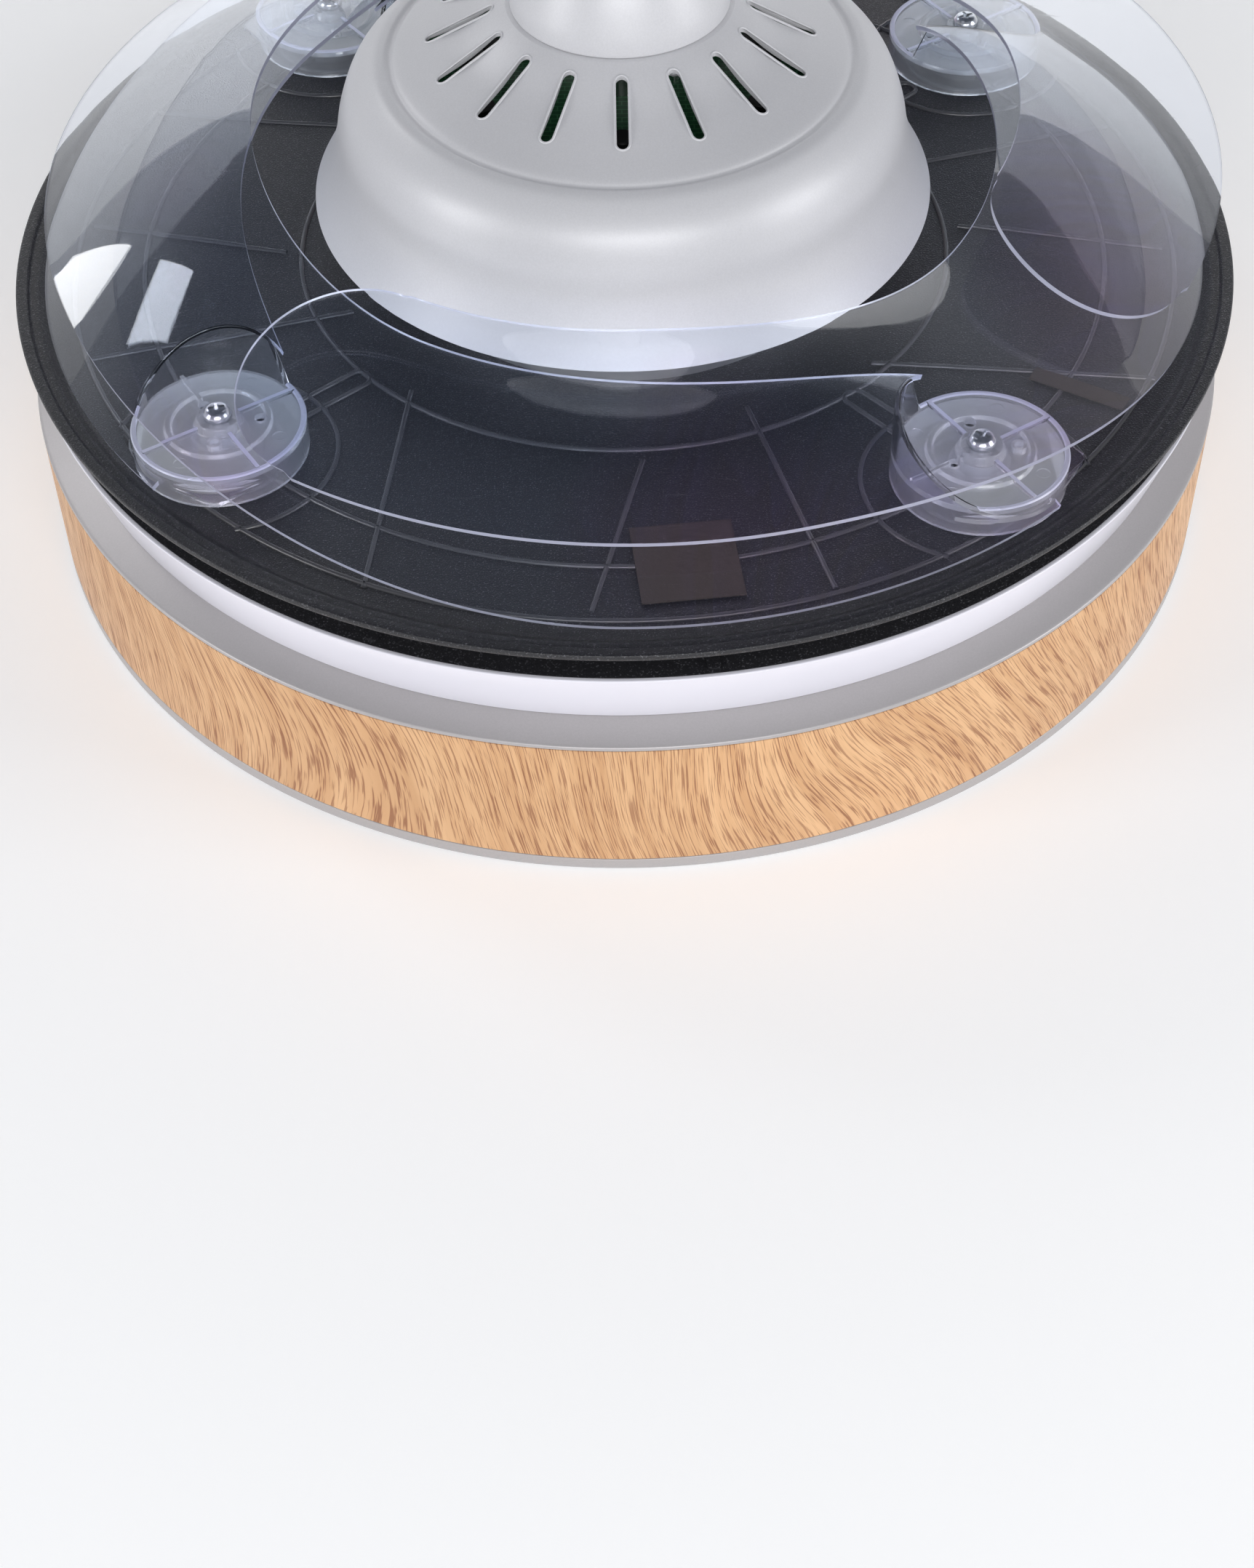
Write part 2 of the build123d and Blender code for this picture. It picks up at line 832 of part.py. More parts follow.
def blade_edges(sweep):
    """Radius and height of the blade's inner and outer edge at an angle past its hub."""
    rise = smooth((sweep - inner_rise_start) / inner_rise_sweep)
    inner_z = hub_disc_top + inner_edge_height + inner_edge_rise * rise
    inner_z -= root_drop * math.exp(-sweep / root_drop_sweep)
    rise = smooth((sweep - outer_rise_start) / outer_rise_sweep)
    outer_z = rim_top + outer_edge_height + outer_edge_rise * rise
    flare = ((blade_waist_sweep - sweep) / blade_waist_sweep) ** blade_flare_power
    inner_r = blade_inner_radius + blade_root_flare * flare
    outer_r = blade_outer_radius - blade_outer_spiral * (max(sweep, 0.0) / blade_sweep) ** blade_curve
    return inner_r, inner_z, outer_r, outer_z


def blade_plane(sweep):
    """Upright plane through Z at an angle past the hub; its x runs outwards and its y runs up."""
    angle = math.radians(-sweep)
    outwards = (math.cos(angle), math.sin(angle), 0)
    across = (math.sin(angle), -math.cos(angle), 0)
    return Plane(origin=(0, 0, 0), x_dir=outwards, z_dir=across)


def blade_arch(sweep, depth):
    """Points across the blade's arch, set below its upper face by depth along the normal."""
    inner_r, inner_z, outer_r, outer_z = blade_edges(sweep)
    width = outer_r - inner_r
    drop = inner_z - outer_z
    points = []
    for step in range(arch_steps + 1):
        share = step / arch_steps
        slope = -drop / width * blade_curve * share ** (blade_curve - 1)
        lean = math.hypot(1, slope)
        across = inner_r + width * share + depth * slope / lean
        points.append((across, inner_z - drop * share**blade_curve - depth / lean))
    return points


def build_shell(sweeps):
    """Loft the arch along the sweep as a thin shell."""
    with BuildPart() as shell:
        for sweep in sweeps:
            upper = blade_arch(sweep, 0.0)
            lower = blade_arch(sweep, blade_thickness)
            with BuildSketch(blade_plane(sweep)):
                with BuildLine():
                    Spline(*upper)
                    Spline(*lower)
                    Line(upper[0], lower[0])
                    Line(upper[-1], lower[-1])
                make_face()
        loft()
    return shell.part


def build_root_block(sweeps):
    """Loft a solid block from the blade's upper face down to the foot of the hub."""
    with BuildPart() as block:
        for sweep in sweeps:
            upper = blade_arch(sweep, 0.0)
            inner_foot = (upper[0][0], hub_bottom)
            outer_foot = (upper[-1][0], hub_bottom)
            with BuildSketch(blade_plane(sweep)):
                with BuildLine():
                    Spline(*upper)
                    Polyline(upper[0], inner_foot, outer_foot, upper[-1])
                make_face()
        loft()
    return block.part


def build_cup_wall():
    """The hub's wall where it climbs above the cup to meet the blade."""
    root_block = build_root_block([root_start + step * root_stretch for step in range(root_stations)])
    with BuildPart() as wall:
        add(root_block)
        with BuildSketch(Plane.XY.offset(hub_bottom)):
            with Locations((pivot_pitch, 0)):
                Circle(hub_radius - wall_tuck)
                Circle(hub_radius - hub_wall + wall_tuck, mode=Mode.SUBTRACT)
        extrude(amount=blade_room, mode=Mode.INTERSECT)
    return wall.part


def build_leaf():
    """The arched shell, cut to a round tip and opened for the hub."""
    tip_inner, _, tip_outer, _ = blade_edges(blade_sweep)
    tip_radius = (tip_outer - tip_inner) / 2
    tip_pitch = (tip_outer + tip_inner) / 2
    tip_sweep = blade_sweep - math.degrees(tip_radius / tip_pitch)
    pitch = (blade_sweep + tip_overrun - root_start) / shell_stations
    shell = build_shell([root_start + pitch * step for step in range(shell_stations + 1)])
    reach = 2 * tray_rim_radius
    wedge = [(0, 0)]
    for step in range(wedge_steps + 1):
        angle = math.radians(-(root_start + (tip_sweep - root_start) * step / wedge_steps))
        wedge.append((reach * math.cos(angle), reach * math.sin(angle)))
    with BuildPart() as leaf:
        add(shell)
        with BuildSketch():
            Polygon(*wedge, align=None)
            with polar(tip_pitch, 1, -tip_sweep):
                Circle(tip_radius)
        extrude(amount=blade_room + hub_bottom, mode=Mode.INTERSECT)
        with BuildSketch(Plane.XY.offset(hub_bottom)):
            with Locations((pivot_pitch, 0)):
                Circle(hub_radius - hub_wall / 2)
        extrude(amount=blade_room, mode=Mode.SUBTRACT)
    return leaf.part


def hub_hole_places():
    """Middles of the holes through the hub's disc."""
    places = []
    for distance, angle in hub_holes:
        turn = math.radians(angle)
        places.append((pivot_pitch + distance * math.cos(turn), distance * math.sin(turn)))
    return places


def root_corner(distance, angle):
    """Corners of the web from the hub's middle, along two tangents, to a pointed root corner."""
    spread = math.degrees(math.acos(hub_radius / distance))
    points = [(pivot_pitch, 0)]
    for reach, turn in ((hub_radius, angle - spread), (distance, angle), (hub_radius, angle + spread)):
        turn = math.radians(turn)
        points.append((pivot_pitch + reach * math.cos(turn), reach * math.sin(turn)))
    return points


def build_blade():
    """One blade with its hub on +X: arched leaf, cup wall, disc with ribs, and pivot boss."""
    leaf = build_leaf()
    wall = build_cup_wall()
    middle = (pivot_pitch, 0)
    with BuildPart() as blade:
        add(leaf)
        add(wall)
        with BuildSketch(Plane.XY.offset(hub_bottom)):
            with Locations(middle):
                Circle(hub_radius)
                Circle(hub_radius - hub_wall, mode=Mode.SUBTRACT)
        extrude(amount=hub_disc_depth + hub_lip)
        with BuildSketch(Plane.XY.offset(root_web_low)):
            for distance, angle in root_corners:
                Polygon(*root_corner(distance, angle), align=None)
            with Locations(middle):
                Circle(hub_radius - hub_wall / 2, mode=Mode.SUBTRACT)
        extrude(amount=root_web_thickness)
        with BuildSketch(Plane.XY.offset(hub_disc_low)):
            with Locations(middle):
                Circle(hub_radius - hub_wall / 2)
            with Locations(hub_hole_places()):
                Circle(hub_hole_radius, mode=Mode.SUBTRACT)
        extrude(amount=hub_disc_thickness)
        with BuildSketch(Plane.XY.offset(hub_disc_top)):
            with Locations(middle):
                Circle(hub_ring_radius)
                Circle(hub_ring_radius - hub_rib_width, mode=Mode.SUBTRACT)
                Rectangle(2 * hub_radius - hub_wall, hub_rib_width, rotation=hub_rib_angle)
                Rectangle(hub_rib_width, 2 * hub_radius - hub_wall, rotation=hub_rib_angle)
            with Locations(hub_hole_places()):
                Circle(hub_hole_radius, mode=Mode.SUBTRACT)
        extrude(amount=hub_rib_height)
        with BuildSketch(Plane.XY.offset(hub_bottom)):
            with Locations(middle):
                Circle(hub_boss_radius)
        extrude(amount=hub_boss_top - hub_bottom)
        with BuildSketch(Plane.XY.offset(hub_bottom)):
            with Locations(middle):
                Circle(post_radius + pivot_fit)
        extrude(amount=hub_boss_top - hub_bottom, mode=Mode.SUBTRACT)
    return blade.part.solid()


pattern_blade = build_blade()
blade_names = ("back_right", "back_left", "front_left", "front_right")
for index, place_name in enumerate(blade_names):
    hub_angle = first_pivot_angle + index * full_turn / blade_count
    swing = loose_blade_angle if place_name == loose_blade else 0.0
    about_pivot = Pos(pivot_pitch, 0, 0) * Rot(0, 0, swing) * Pos(-pivot_pitch, 0, 0)
    save(Rot(0, 0, hub_angle) * about_pivot * pattern_blade, f"blade_{place_name}")


# ================================================================ housing and yoke
def bell_wall_points(points, depth):
    """The same run of profile points moved inwards by depth along the local normal."""
    moved = []
    for index, (across, up) in enumerate(points):
        before = points[max(index - 1, 0)]
        after = points[min(index + 1, len(points) - 1)]
        run = after[0] - before[0]
        climb = after[1] - before[1]
        length = math.hypot(run, climb)
        moved.append((across - depth * climb / length, up + depth * run / length))
    return moved


def build_housing():
    """Spun housing: skirt, crown, groove, vented shoulder and a flat top that clamps under the yoke."""
    bore = shaft_radius + hole_clearance
    inner_top = bell_top - bell_wall
    outline = bell_outline + [(bore, bell_top)]
    inside = bell_wall_points(bell_outline, bell_wall)
    inside[-1] = (inside[-1][0], inner_top)
    inside.append((bore, inner_top))
    with BuildPart() as bell:
        with BuildSketch(Plane.XZ):
            with BuildLine():
                Spline(*outline[:-1])
                Line(outline[-2], outline[-1])
                Line(outline[-1], inside[-1])
                Line(inside[-1], inside[-2])
                Spline(*inside[:-1])
                Line(inside[0], outline[0])
            make_face()
        revolve(axis=Axis.Z)
        with BuildSketch(Plane.XY.offset(bell_top)):
            with polar((vent_inner + vent_outer) / 2, bell_vents):
                SlotOverall(vent_outer - vent_inner, vent_width)
        extrude(amount=-vent_depth, mode=Mode.SUBTRACT)
        with BuildSketch(Plane.XY.offset(bell_top)):
            with polar(bell_screw_pitch, bell_screw_count):
                Circle(screw_radius + hole_clearance)
        extrude(amount=-bell_wall, mode=Mode.SUBTRACT)
    return bell.part


def build_yoke():
    """Coupler: a flange screwed over the housing, gripping the shaft below and the downrod above."""
    with BuildPart() as yoke:
        flange_top = bell_top + yoke_flange_thickness
        add(ring(yoke_flange_radius, shaft_radius + hole_clearance, bell_top, flange_top))
        add(ring(yoke_radius, shaft_radius + hole_clearance, bell_top, yoke_socket_floor))
        add(ring(yoke_radius, rod_radius + hole_clearance, yoke_socket_floor, yoke_top))
        with BuildSketch(Plane.XY.offset(flange_top)):
            with polar(bell_screw_pitch, bell_screw_count):
                Circle(screw_radius + hole_clearance)
        extrude(amount=-yoke_flange_thickness, mode=Mode.SUBTRACT)
        with BuildSketch(Plane.YZ):
            with Locations((0, yoke_pin_z)):
                Circle(pin_radius + hole_clearance)
        extrude(amount=2 * yoke_radius, both=True, mode=Mode.SUBTRACT)
        with BuildSketch(Plane.XZ):
            with Locations((0, set_screw_z)):
                Circle(set_screw_radius + hole_clearance)
        extrude(amount=2 * yoke_radius, both=True, mode=Mode.SUBTRACT)
    return yoke.part


def build_yoke_cover():
    """Domed cover that slides down the rod and rests on the housing."""
    outer = []
    for inset, share in cover_profile:
        outer.append((yoke_cover_radius - inset, cover_bottom + share * yoke_cover_height))
    outer.append((rod_radius + cover_gap, cover_top))
    inner = bell_wall_points(outer, bell_wall)
    inner[-1] = (rod_radius + cover_gap, cover_top - cover_neck)
    inner[0] = (yoke_cover_radius - bell_wall, cover_bottom)
    with BuildPart() as cover:
        with BuildSketch(Plane.XZ):
            with BuildLine():
                Spline(*outer)
                Line(outer[-1], inner[-1])
                Spline(*inner)
                Line(inner[0], outer[0])
            make_face()
        revolve(axis=Axis.Z)
    return cover.part


def build_downrod():
    with BuildPart() as rod:
        add(ring(rod_radius, rod_radius - rod_wall, rod_bottom, rod_top))
        with BuildSketch(Plane.YZ):
            with Locations((0, yoke_pin_z), (0, ball_centre)):
                Circle(pin_radius + hole_clearance)
        extrude(amount=2 * rod_radius, both=True, mode=Mode.SUBTRACT)
    return rod.part


def build_cross_pin(height, length):
    with BuildPart() as pin:
        with BuildSketch(Plane.YZ):
            with Locations((0, height)):
                Circle(pin_radius)
        extrude(amount=length / 2, both=True)
    return pin.part


def build_set_screws():
    screws = []
    for side in (-1, 1):
        with BuildPart() as screw:
            with BuildSketch(Plane.XZ.offset(side * (shaft_radius + hole_clearance))):
                with Locations((0, set_screw_z)):
                    Circle(set_screw_radius)
            extrude(amount=side * set_screw_length)
        screws.append(screw.part)
    return Compound(children=screws)


# ================================================================ ceiling end
def build_ball():
    with BuildPart() as ball:
        with Locations((0, 0, ball_centre)):
            Sphere(ball_radius)
        with BuildSketch(Plane.XY.offset(ball_centre - ball_flat)):
            Circle(ball_radius)
            Circle(rod_radius + hole_clearance, mode=Mode.SUBTRACT)
        extrude(amount=2 * ball_flat, mode=Mode.INTERSECT)
        with BuildSketch(Plane.YZ):
            with Locations((0, ball_centre)):
                Circle(pin_radius + hole_clearance)
        extrude(amount=2 * ball_radius, both=True, mode=Mode.SUBTRACT)
    return ball.part


def build_bracket():
    """Ceiling plate, two legs and the ring seat that the ball rests in."""
    half = bracket_length / 2
    seat_low = ball_centre - ball_flat
    plate_low = canopy_top - bracket_thickness
    with BuildPart() as bracket:
        with BuildSketch(Plane.XY.offset(plate_low)):
            Rectangle(bracket_length, bracket_width)
            Circle(half, mode=Mode.INTERSECT)
            with Locations((-bracket_bolt_spacing / 2, 0), (bracket_bolt_spacing / 2, 0)):
                Circle(bracket_bolt_radius, mode=Mode.SUBTRACT)
        extrude(amount=bracket_thickness)
        for side in (-1, 1):
            with BuildSketch(Plane.XY.offset(seat_low)):
                with Locations((side * (seat_outer - bracket_thickness / 2), 0)):
                    Rectangle(bracket_thickness, leg_width)
            extrude(amount=plate_low - seat_low)
            with BuildSketch(Plane.XY.offset(plate_low)):
                with Locations((side * (half - bracket_thickness / 2 - tab_inset), 0)):
                    Rectangle(bracket_thickness, tab_width)
            extrude(amount=-tab_drop)
        with BuildSketch(Plane.XY.offset(seat_low)):
            Circle(seat_outer)
            Circle(rod_radius + seat_mouth, mode=Mode.SUBTRACT)
        extrude(amount=seat_height)
        with Locations((0, 0, ball_centre)):
            Sphere(ball_radius + hole_clearance, mode=Mode.SUBTRACT)
        with BuildSketch(Plane.YZ):
            with Locations((0, canopy_screw_z)):
                Circle(slim_screw_radius + hole_clearance)
        extrude(amount=bracket_length, both=True, mode=Mode.SUBTRACT)
    return bracket.part


def build_canopy():
    """Ceiling bowl, open at the top, with a hole for the rod below and two screw holes in its side."""
    shoulder_z = canopy_bottom + canopy_round
    floor_z = canopy_bottom + canopy_wall
    inner_radius = canopy_radius - canopy_wall
    mouth_radius = rod_radius + cover_gap
    floor_radius = canopy_radius - canopy_round
    with BuildPart() as canopy:
        with BuildSketch(Plane.XZ):
            with BuildLine():
                Line((canopy_radius, canopy_top), (canopy_radius, shoulder_z))
                RadiusArc((canopy_radius, shoulder_z), (floor_radius, canopy_bottom), canopy_round)
                Polyline(
                    (floor_radius, canopy_bottom),
                    (mouth_radius, canopy_bottom),
                    (mouth_radius, floor_z),
                    (floor_radius, floor_z),
                )
                RadiusArc((floor_radius, floor_z), (inner_radius, shoulder_z), canopy_wall - canopy_round)
                Polyline(
                    (inner_radius, shoulder_z),
                    (inner_radius, canopy_top),
                    (canopy_radius, canopy_top),
                )
            make_face()
        revolve(axis=Axis.Z)
        with BuildSketch(Plane.YZ):
            with Locations((0, canopy_screw_z)):
                Circle(slim_screw_radius + hole_clearance)
        extrude(amount=2 * canopy_radius, both=True, mode=Mode.SUBTRACT)
    return canopy.part


def build_canopy_screws():
    screws = []
    for side in (-1, 1):
        with BuildPart() as screw:
            with BuildSketch(Plane.YZ.offset(side * canopy_radius)):
                with Locations((0, canopy_screw_z)):
                    Circle(slim_head_radius)
            extrude(amount=side * slim_head_height)
            with BuildSketch(Plane.YZ.offset(side * canopy_radius)):
                with Locations((0, canopy_screw_z)):
                    Circle(slim_screw_radius)
            extrude(amount=-side * canopy_screw_length)
        screws.append(screw.part)
    return Compound(children=screws)


save(build_housing(), "motor_housing")
save(build_yoke(), "yoke")
save(
    build_screws(
        bell_screw_pitch, bell_screw_count,
        bell_top + yoke_flange_thickness, bell_top - bell_wall - screw_head_height,
        screw_radius, bell_screw_head, screw_head_height,
    ),
    "yoke_screws",
)
save(build_yoke_cover(), "yoke_cover")
save(build_downrod(), "downrod")
save(build_cross_pin(yoke_pin_z, yoke_pin_length), "yoke_pin")
save(build_set_screws(), "yoke_set_screws")
save(build_ball(), "hanger_ball")
save(build_cross_pin(ball_centre, ball_pin_length), "ball_pin")
save(build_bracket(), "ceiling_bracket")
save(build_canopy(), "canopy")
save(build_canopy_screws(), "canopy_screws")
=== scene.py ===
import json
import math

import bpy
import numpy as np
from mathutils import Matrix, Vector


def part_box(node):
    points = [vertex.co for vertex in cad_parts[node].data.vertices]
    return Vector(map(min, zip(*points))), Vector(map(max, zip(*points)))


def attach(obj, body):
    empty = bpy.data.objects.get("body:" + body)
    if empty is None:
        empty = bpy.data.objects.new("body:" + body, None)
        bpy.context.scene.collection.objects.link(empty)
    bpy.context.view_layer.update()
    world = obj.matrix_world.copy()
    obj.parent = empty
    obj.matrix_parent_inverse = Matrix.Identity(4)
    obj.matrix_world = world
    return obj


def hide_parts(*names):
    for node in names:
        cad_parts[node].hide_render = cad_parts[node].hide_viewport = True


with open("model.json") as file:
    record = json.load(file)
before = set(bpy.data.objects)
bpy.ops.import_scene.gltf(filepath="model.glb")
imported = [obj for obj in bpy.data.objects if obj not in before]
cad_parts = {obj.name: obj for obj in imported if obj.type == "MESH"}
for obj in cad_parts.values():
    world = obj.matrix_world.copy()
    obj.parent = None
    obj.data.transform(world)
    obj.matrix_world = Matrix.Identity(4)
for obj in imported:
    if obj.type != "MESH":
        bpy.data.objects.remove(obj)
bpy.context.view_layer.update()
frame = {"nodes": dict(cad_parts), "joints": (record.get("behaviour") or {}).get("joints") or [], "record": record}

bl_info = {
    "name": "Fold-away Blade Fan",
    "version": (1, 0, 0),
    "blender": (4, 5, 0),
    "location": "View3D > Sidebar > Fan",
    "description": "Builds the looks of a ceiling fan with folded clear blades and a wood-band drum light",
    "category": "Add Mesh",
}

MM = 0.001
FULL_TURN = 2 * math.pi
FINE_TURNS = 288
SMALL_TURNS = 64
SMOOTH_ANGLE = math.radians(38)
FILLET_STEPS = 5

# ---------------------------------------------------------------- sizes read from the frame
TRIM_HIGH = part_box("bottom_trim")[1]
WOOD_LOW, WOOD_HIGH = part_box("wood_band")
SHOULDER_LOW, SHOULDER_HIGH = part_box("shoulder_ring")
RING_LOW, RING_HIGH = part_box("white_ring")
DIFFUSER_LOW, DIFFUSER_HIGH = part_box("diffuser")
TRAY_LOW, TRAY_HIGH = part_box("blade_tray")
HOUSING_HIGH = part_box("motor_housing")[1]
COVER_LOW, COVER_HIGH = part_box("yoke_cover")
CANOPY_LOW, CANOPY_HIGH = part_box("canopy")
SCREW_LOW, SCREW_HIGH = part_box("pivot_screws")
DRUM_RADIUS = WOOD_HIGH.x
TRAY_RADIUS = TRAY_HIGH.x
SWINGS = {j["child"]: j for j in frame["joints"] if j["name"].endswith("_swing")}
PIVOT_PITCH = math.hypot(*next(iter(SWINGS.values()))["pos_m"][:2])

# ---------------------------------------------------------------- blade shape
HUB_RADIUS = 33.5 * MM
HUB_TURNS = 144
HUB_WALL = 2.2 * MM
HUB_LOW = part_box("blade_front_left")[0].z
HUB_DISC_TOP = HUB_LOW + 12.0 * MM
HUB_DISC_THICKNESS = 2.5 * MM
HUB_LIP = 1.0 * MM
HUB_RING = 20.0 * MM
HUB_BOSS = 8.2 * MM
HUB_BOSS_RISE = 3.4 * MM
HUB_BORE = 4.05 * MM
HUB_RIB_WIDTH = 1.6 * MM
HUB_RIB_HEIGHT = 1.3 * MM
HUB_RIB_ANGLE = math.radians(-8)
HUB_HOLES = ((16.0, 148.0), (12.5, 262.0))
HUB_PIN = (14.0, 49.0)
HUB_EJECTORS = ((25.5, 120.0), (25.5, 205.0), (26.0, 290.0), (25.5, 20.0))
ROOT_CORNERS = ((39.7, 52.0), (36.4, 321.0))
LEAF_THICKNESS = 2.0 * MM
LEAF_SWEEP = 175.0
LEAF_ROOT = -1.5
LEAF_STATIONS = 150
LEAF_ACROSS = 22
LEAF_CURVE = 1.6
LOOSE_BODY = "blade_back_left_body"
LOOSE_SWING = math.radians(4.5)


# ================================================================ small mesh tools
def smooth_step(share):
    """Ease from 0 to 1."""
    share = min(max(share, 0.0), 1.0)
    return share * share * (3 - 2 * share)


def new_piece(name, verts, faces, material, edge_material=None, edge_faces=()):
    """A mesh object with smooth faces and sharp edges kept, carrying one or two materials."""
    mesh = bpy.data.meshes.new(name)
    mesh.from_pydata([tuple(v) for v in verts], [], faces)
    mesh.validate()
    mesh.materials.append(material)
    if edge_material:
        mesh.materials.append(edge_material)
        for index in edge_faces:
            mesh.polygons[index].material_index = 1
    piece = bpy.data.objects.new(name, mesh)
    bpy.context.scene.collection.objects.link(piece)
    round_off(mesh)
    return piece


def round_off(mesh, angle=SMOOTH_ANGLE):
    """Shade smooth except across edges sharper than the angle."""
    mesh.shade_smooth()
    mesh.set_sharp_from_angle(angle=angle)


def settle(piece, body, slot, *nodes):
    """Ride on a body and stand for CAD nodes; the slot is not used."""
    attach(piece, body)
    if nodes:
        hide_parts(*nodes)
    return piece


def filleted(corners, steps=FILLET_STEPS):
    """Round a closed run of (radius, height, fillet) corners, all in metres."""
    points = []
    count = len(corners)
    for index, (across, up, fillet) in enumerate(corners):
        here = Vector((across, up))
        if fillet <= 0:
            points.append(here)
            continue
        before = Vector(corners[index - 1][:2])
        after = Vector(corners[(index + 1) % count][:2])
        back = before - here
        ahead = after - here
        reach = min(fillet, back.length * 0.45, ahead.length * 0.45)
        start = here + back.normalized() * reach
        end = here + ahead.normalized() * reach
        for step in range(steps + 1):
            share = step / steps
            points.append(start.lerp(here, share).lerp(here.lerp(end, share), share))
    return points


def lathe(profile, turns=FINE_TURNS):
    """Vertices and faces of a closed (radius, height) profile turned about Z."""
    rows = len(profile)
    verts = []
    for turn in range(turns):
        angle = FULL_TURN * turn / turns
        for across, up in profile:
            verts.append((across * math.cos(angle), across * math.sin(angle), up))
    faces = []
    for turn in range(turns):
        for row in range(rows):
            after = (row + 1) % rows
            ahead = ((turn + 1) % turns) * rows
            faces.append((turn * rows + row, ahead + row, ahead + after, turn * rows + after))
    return verts, faces


def plug(radius, low, high, turns=SMALL_TURNS, middle=(0.0, 0.0), taper=1.0):
    """Vertices and faces of a round prism, narrower at its foot by taper."""
    verts = []
    for up, wide in ((low, radius * taper), (high, radius)):
        for turn in range(turns):
            angle = FULL_TURN * turn / turns
            verts.append((middle[0] + wide * math.cos(angle), middle[1] + wide * math.sin(angle), up))
    faces = [tuple(reversed(range(turns))), tuple(range(turns, 2 * turns))]
    for turn in range(turns):
        ahead = (turn + 1) % turns
        faces.append((turn, ahead, turns + ahead, turns + turn))
    return verts, faces


def prism(outline, low, high):
    """Vertices and faces of a straight prism over an anticlockwise outline."""
    count = len(outline)
    verts = [(x, y, low) for x, y in outline] + [(x, y, high) for x, y in outline]
    faces = [tuple(reversed(range(count))), tuple(range(count, 2 * count))]
    for index in range(count):
        ahead = (index + 1) % count
        faces.append((index, ahead, count + ahead, count + index))
    return verts, faces


def moved(shape, matrix):
    """A copy of a (vertices, faces) shape carried through a matrix."""
    verts, faces = shape
    return [matrix @ Vector(v) for v in verts], faces


def gathered(shapes):
    """Several (vertices, faces) shapes as one."""
    verts, faces = [], []
    for more_verts, more_faces in shapes:
        start = len(verts)
        verts.extend(more_verts)
        faces.extend(tuple(start + index for index in face) for face in more_faces)
    return verts, faces


def slot_outline(length, width, steps=10):
    """Anticlockwise outline of a slot along X, centred on the origin."""
    points = []
    reach = (length - width) / 2
    for end in (1, -1):
        for step in range(steps + 1):
            angle = math.pi * step / steps - math.pi / 2 + (0 if end > 0 else math.pi)
            points.append((end * reach + width / 2 * math.cos(angle), width / 2 * math.sin(angle)))
    return points


def combine(target, shape, operation):
    """Join a shape to the target, or cut it away, with an exact boolean, and keep the result as its mesh."""
    tool = new_piece("tool", *shape, target.data.materials[0])
    change = target.modifiers.new("combine", "BOOLEAN")
    change.operation = operation
    change.solver = "EXACT"
    change.object = tool
    depsgraph = bpy.context.evaluated_depsgraph_get()
    mesh = bpy.data.meshes.new_from_object(target.evaluated_get(depsgraph))
    target.modifiers.clear()
    target.data = mesh
    bpy.data.objects.remove(tool)
    return target


def bead(name, runs, radius, material, closed=False):
    """Round beads along runs of points, as one curve piece."""
    curve = bpy.data.curves.new(name, "CURVE")
    curve.dimensions = "3D"
    curve.bevel_depth = radius
    curve.bevel_resolution = 3
    curve.use_fill_caps = True
    for run in runs:
        spline = curve.splines.new("POLY")
        spline.points.add(len(run) - 1)
        for point, place in zip(spline.points, run):
            point.co = (*place, 1.0)
        spline.use_cyclic_u = closed
    curve.materials.append(material)
    piece = bpy.data.objects.new(name, curve)
    bpy.context.scene.collection.objects.link(piece)
    return piece


def curved_profile(points, samples):
    """A smooth run through (radius, height) points, evenly sampled between them."""
    knots = [Vector(p) for p in points]
    run = []
    for index in range(len(knots) - 1):
        before = knots[max(index - 1, 0)]
        start, end = knots[index], knots[index + 1]
        after = knots[min(index + 2, len(knots) - 1)]
        for step in range(samples):
            t = step / samples
            blend = 0.5 * (
                2 * start
                + (end - before) * t
                + (2 * before - 5 * start + 4 * end - after) * t * t
                + (3 * start - before - 3 * end + after) * t * t * t
            )
            run.append(blend)
    run.append(knots[-1])
    return run


def thickened(run, depth):
    """Close a run of profile points with a copy of itself set inwards by depth."""
    inside = []
    for index, here in enumerate(run):
        along = run[min(index + 1, len(run) - 1)] - run[max(index - 1, 0)]
        inside.append(here + Vector((-along.y, along.x)).normalized() * depth)
    return [tuple(p) for p in run] + [tuple(p) for p in reversed(inside)]


# ================================================================ material tools
def add_node(tree, kind, settings=None, **inputs):
    """A node with its settings and its inputs, each a plain value or a socket to link."""
    made = tree.nodes.new(kind)
    for key, value in (settings or {}).items():
        setattr(made, key, value)
    for key, value in inputs.items():
        numbered = key[0] == "n" and key[1:].isdigit()
        at = made.inputs[int(key[1:]) if numbered else key.replace("_", " ")]
        if isinstance(value, bpy.types.NodeSocket):
            tree.links.new(value, at)
        else:
            at.default_value = value
    return made


def maths(tree, operation, first, second=0.0, third=0.0):
    """One Math node's result."""
    made = add_node(tree, "ShaderNodeMath", {"operation": operation}, n0=first, n1=second, n2=third)
    return made.outputs[0]


def noise(tree, place, scale, detail=2.0, **inputs):
    """One Noise texture's value."""
    made = add_node(tree, "ShaderNodeTexNoise", Vector=place, Scale=scale, Detail=detail, **inputs)
    return made.outputs["Fac"]


def remap(tree, value, low, high, to_low=0.0, to_high=1.0):
    """A value carried from one range to another and held inside it."""
    made = add_node(tree, "ShaderNodeMapRange", n0=value, n1=low, n2=high, n3=to_low, n4=to_high)
    return made.outputs[0]


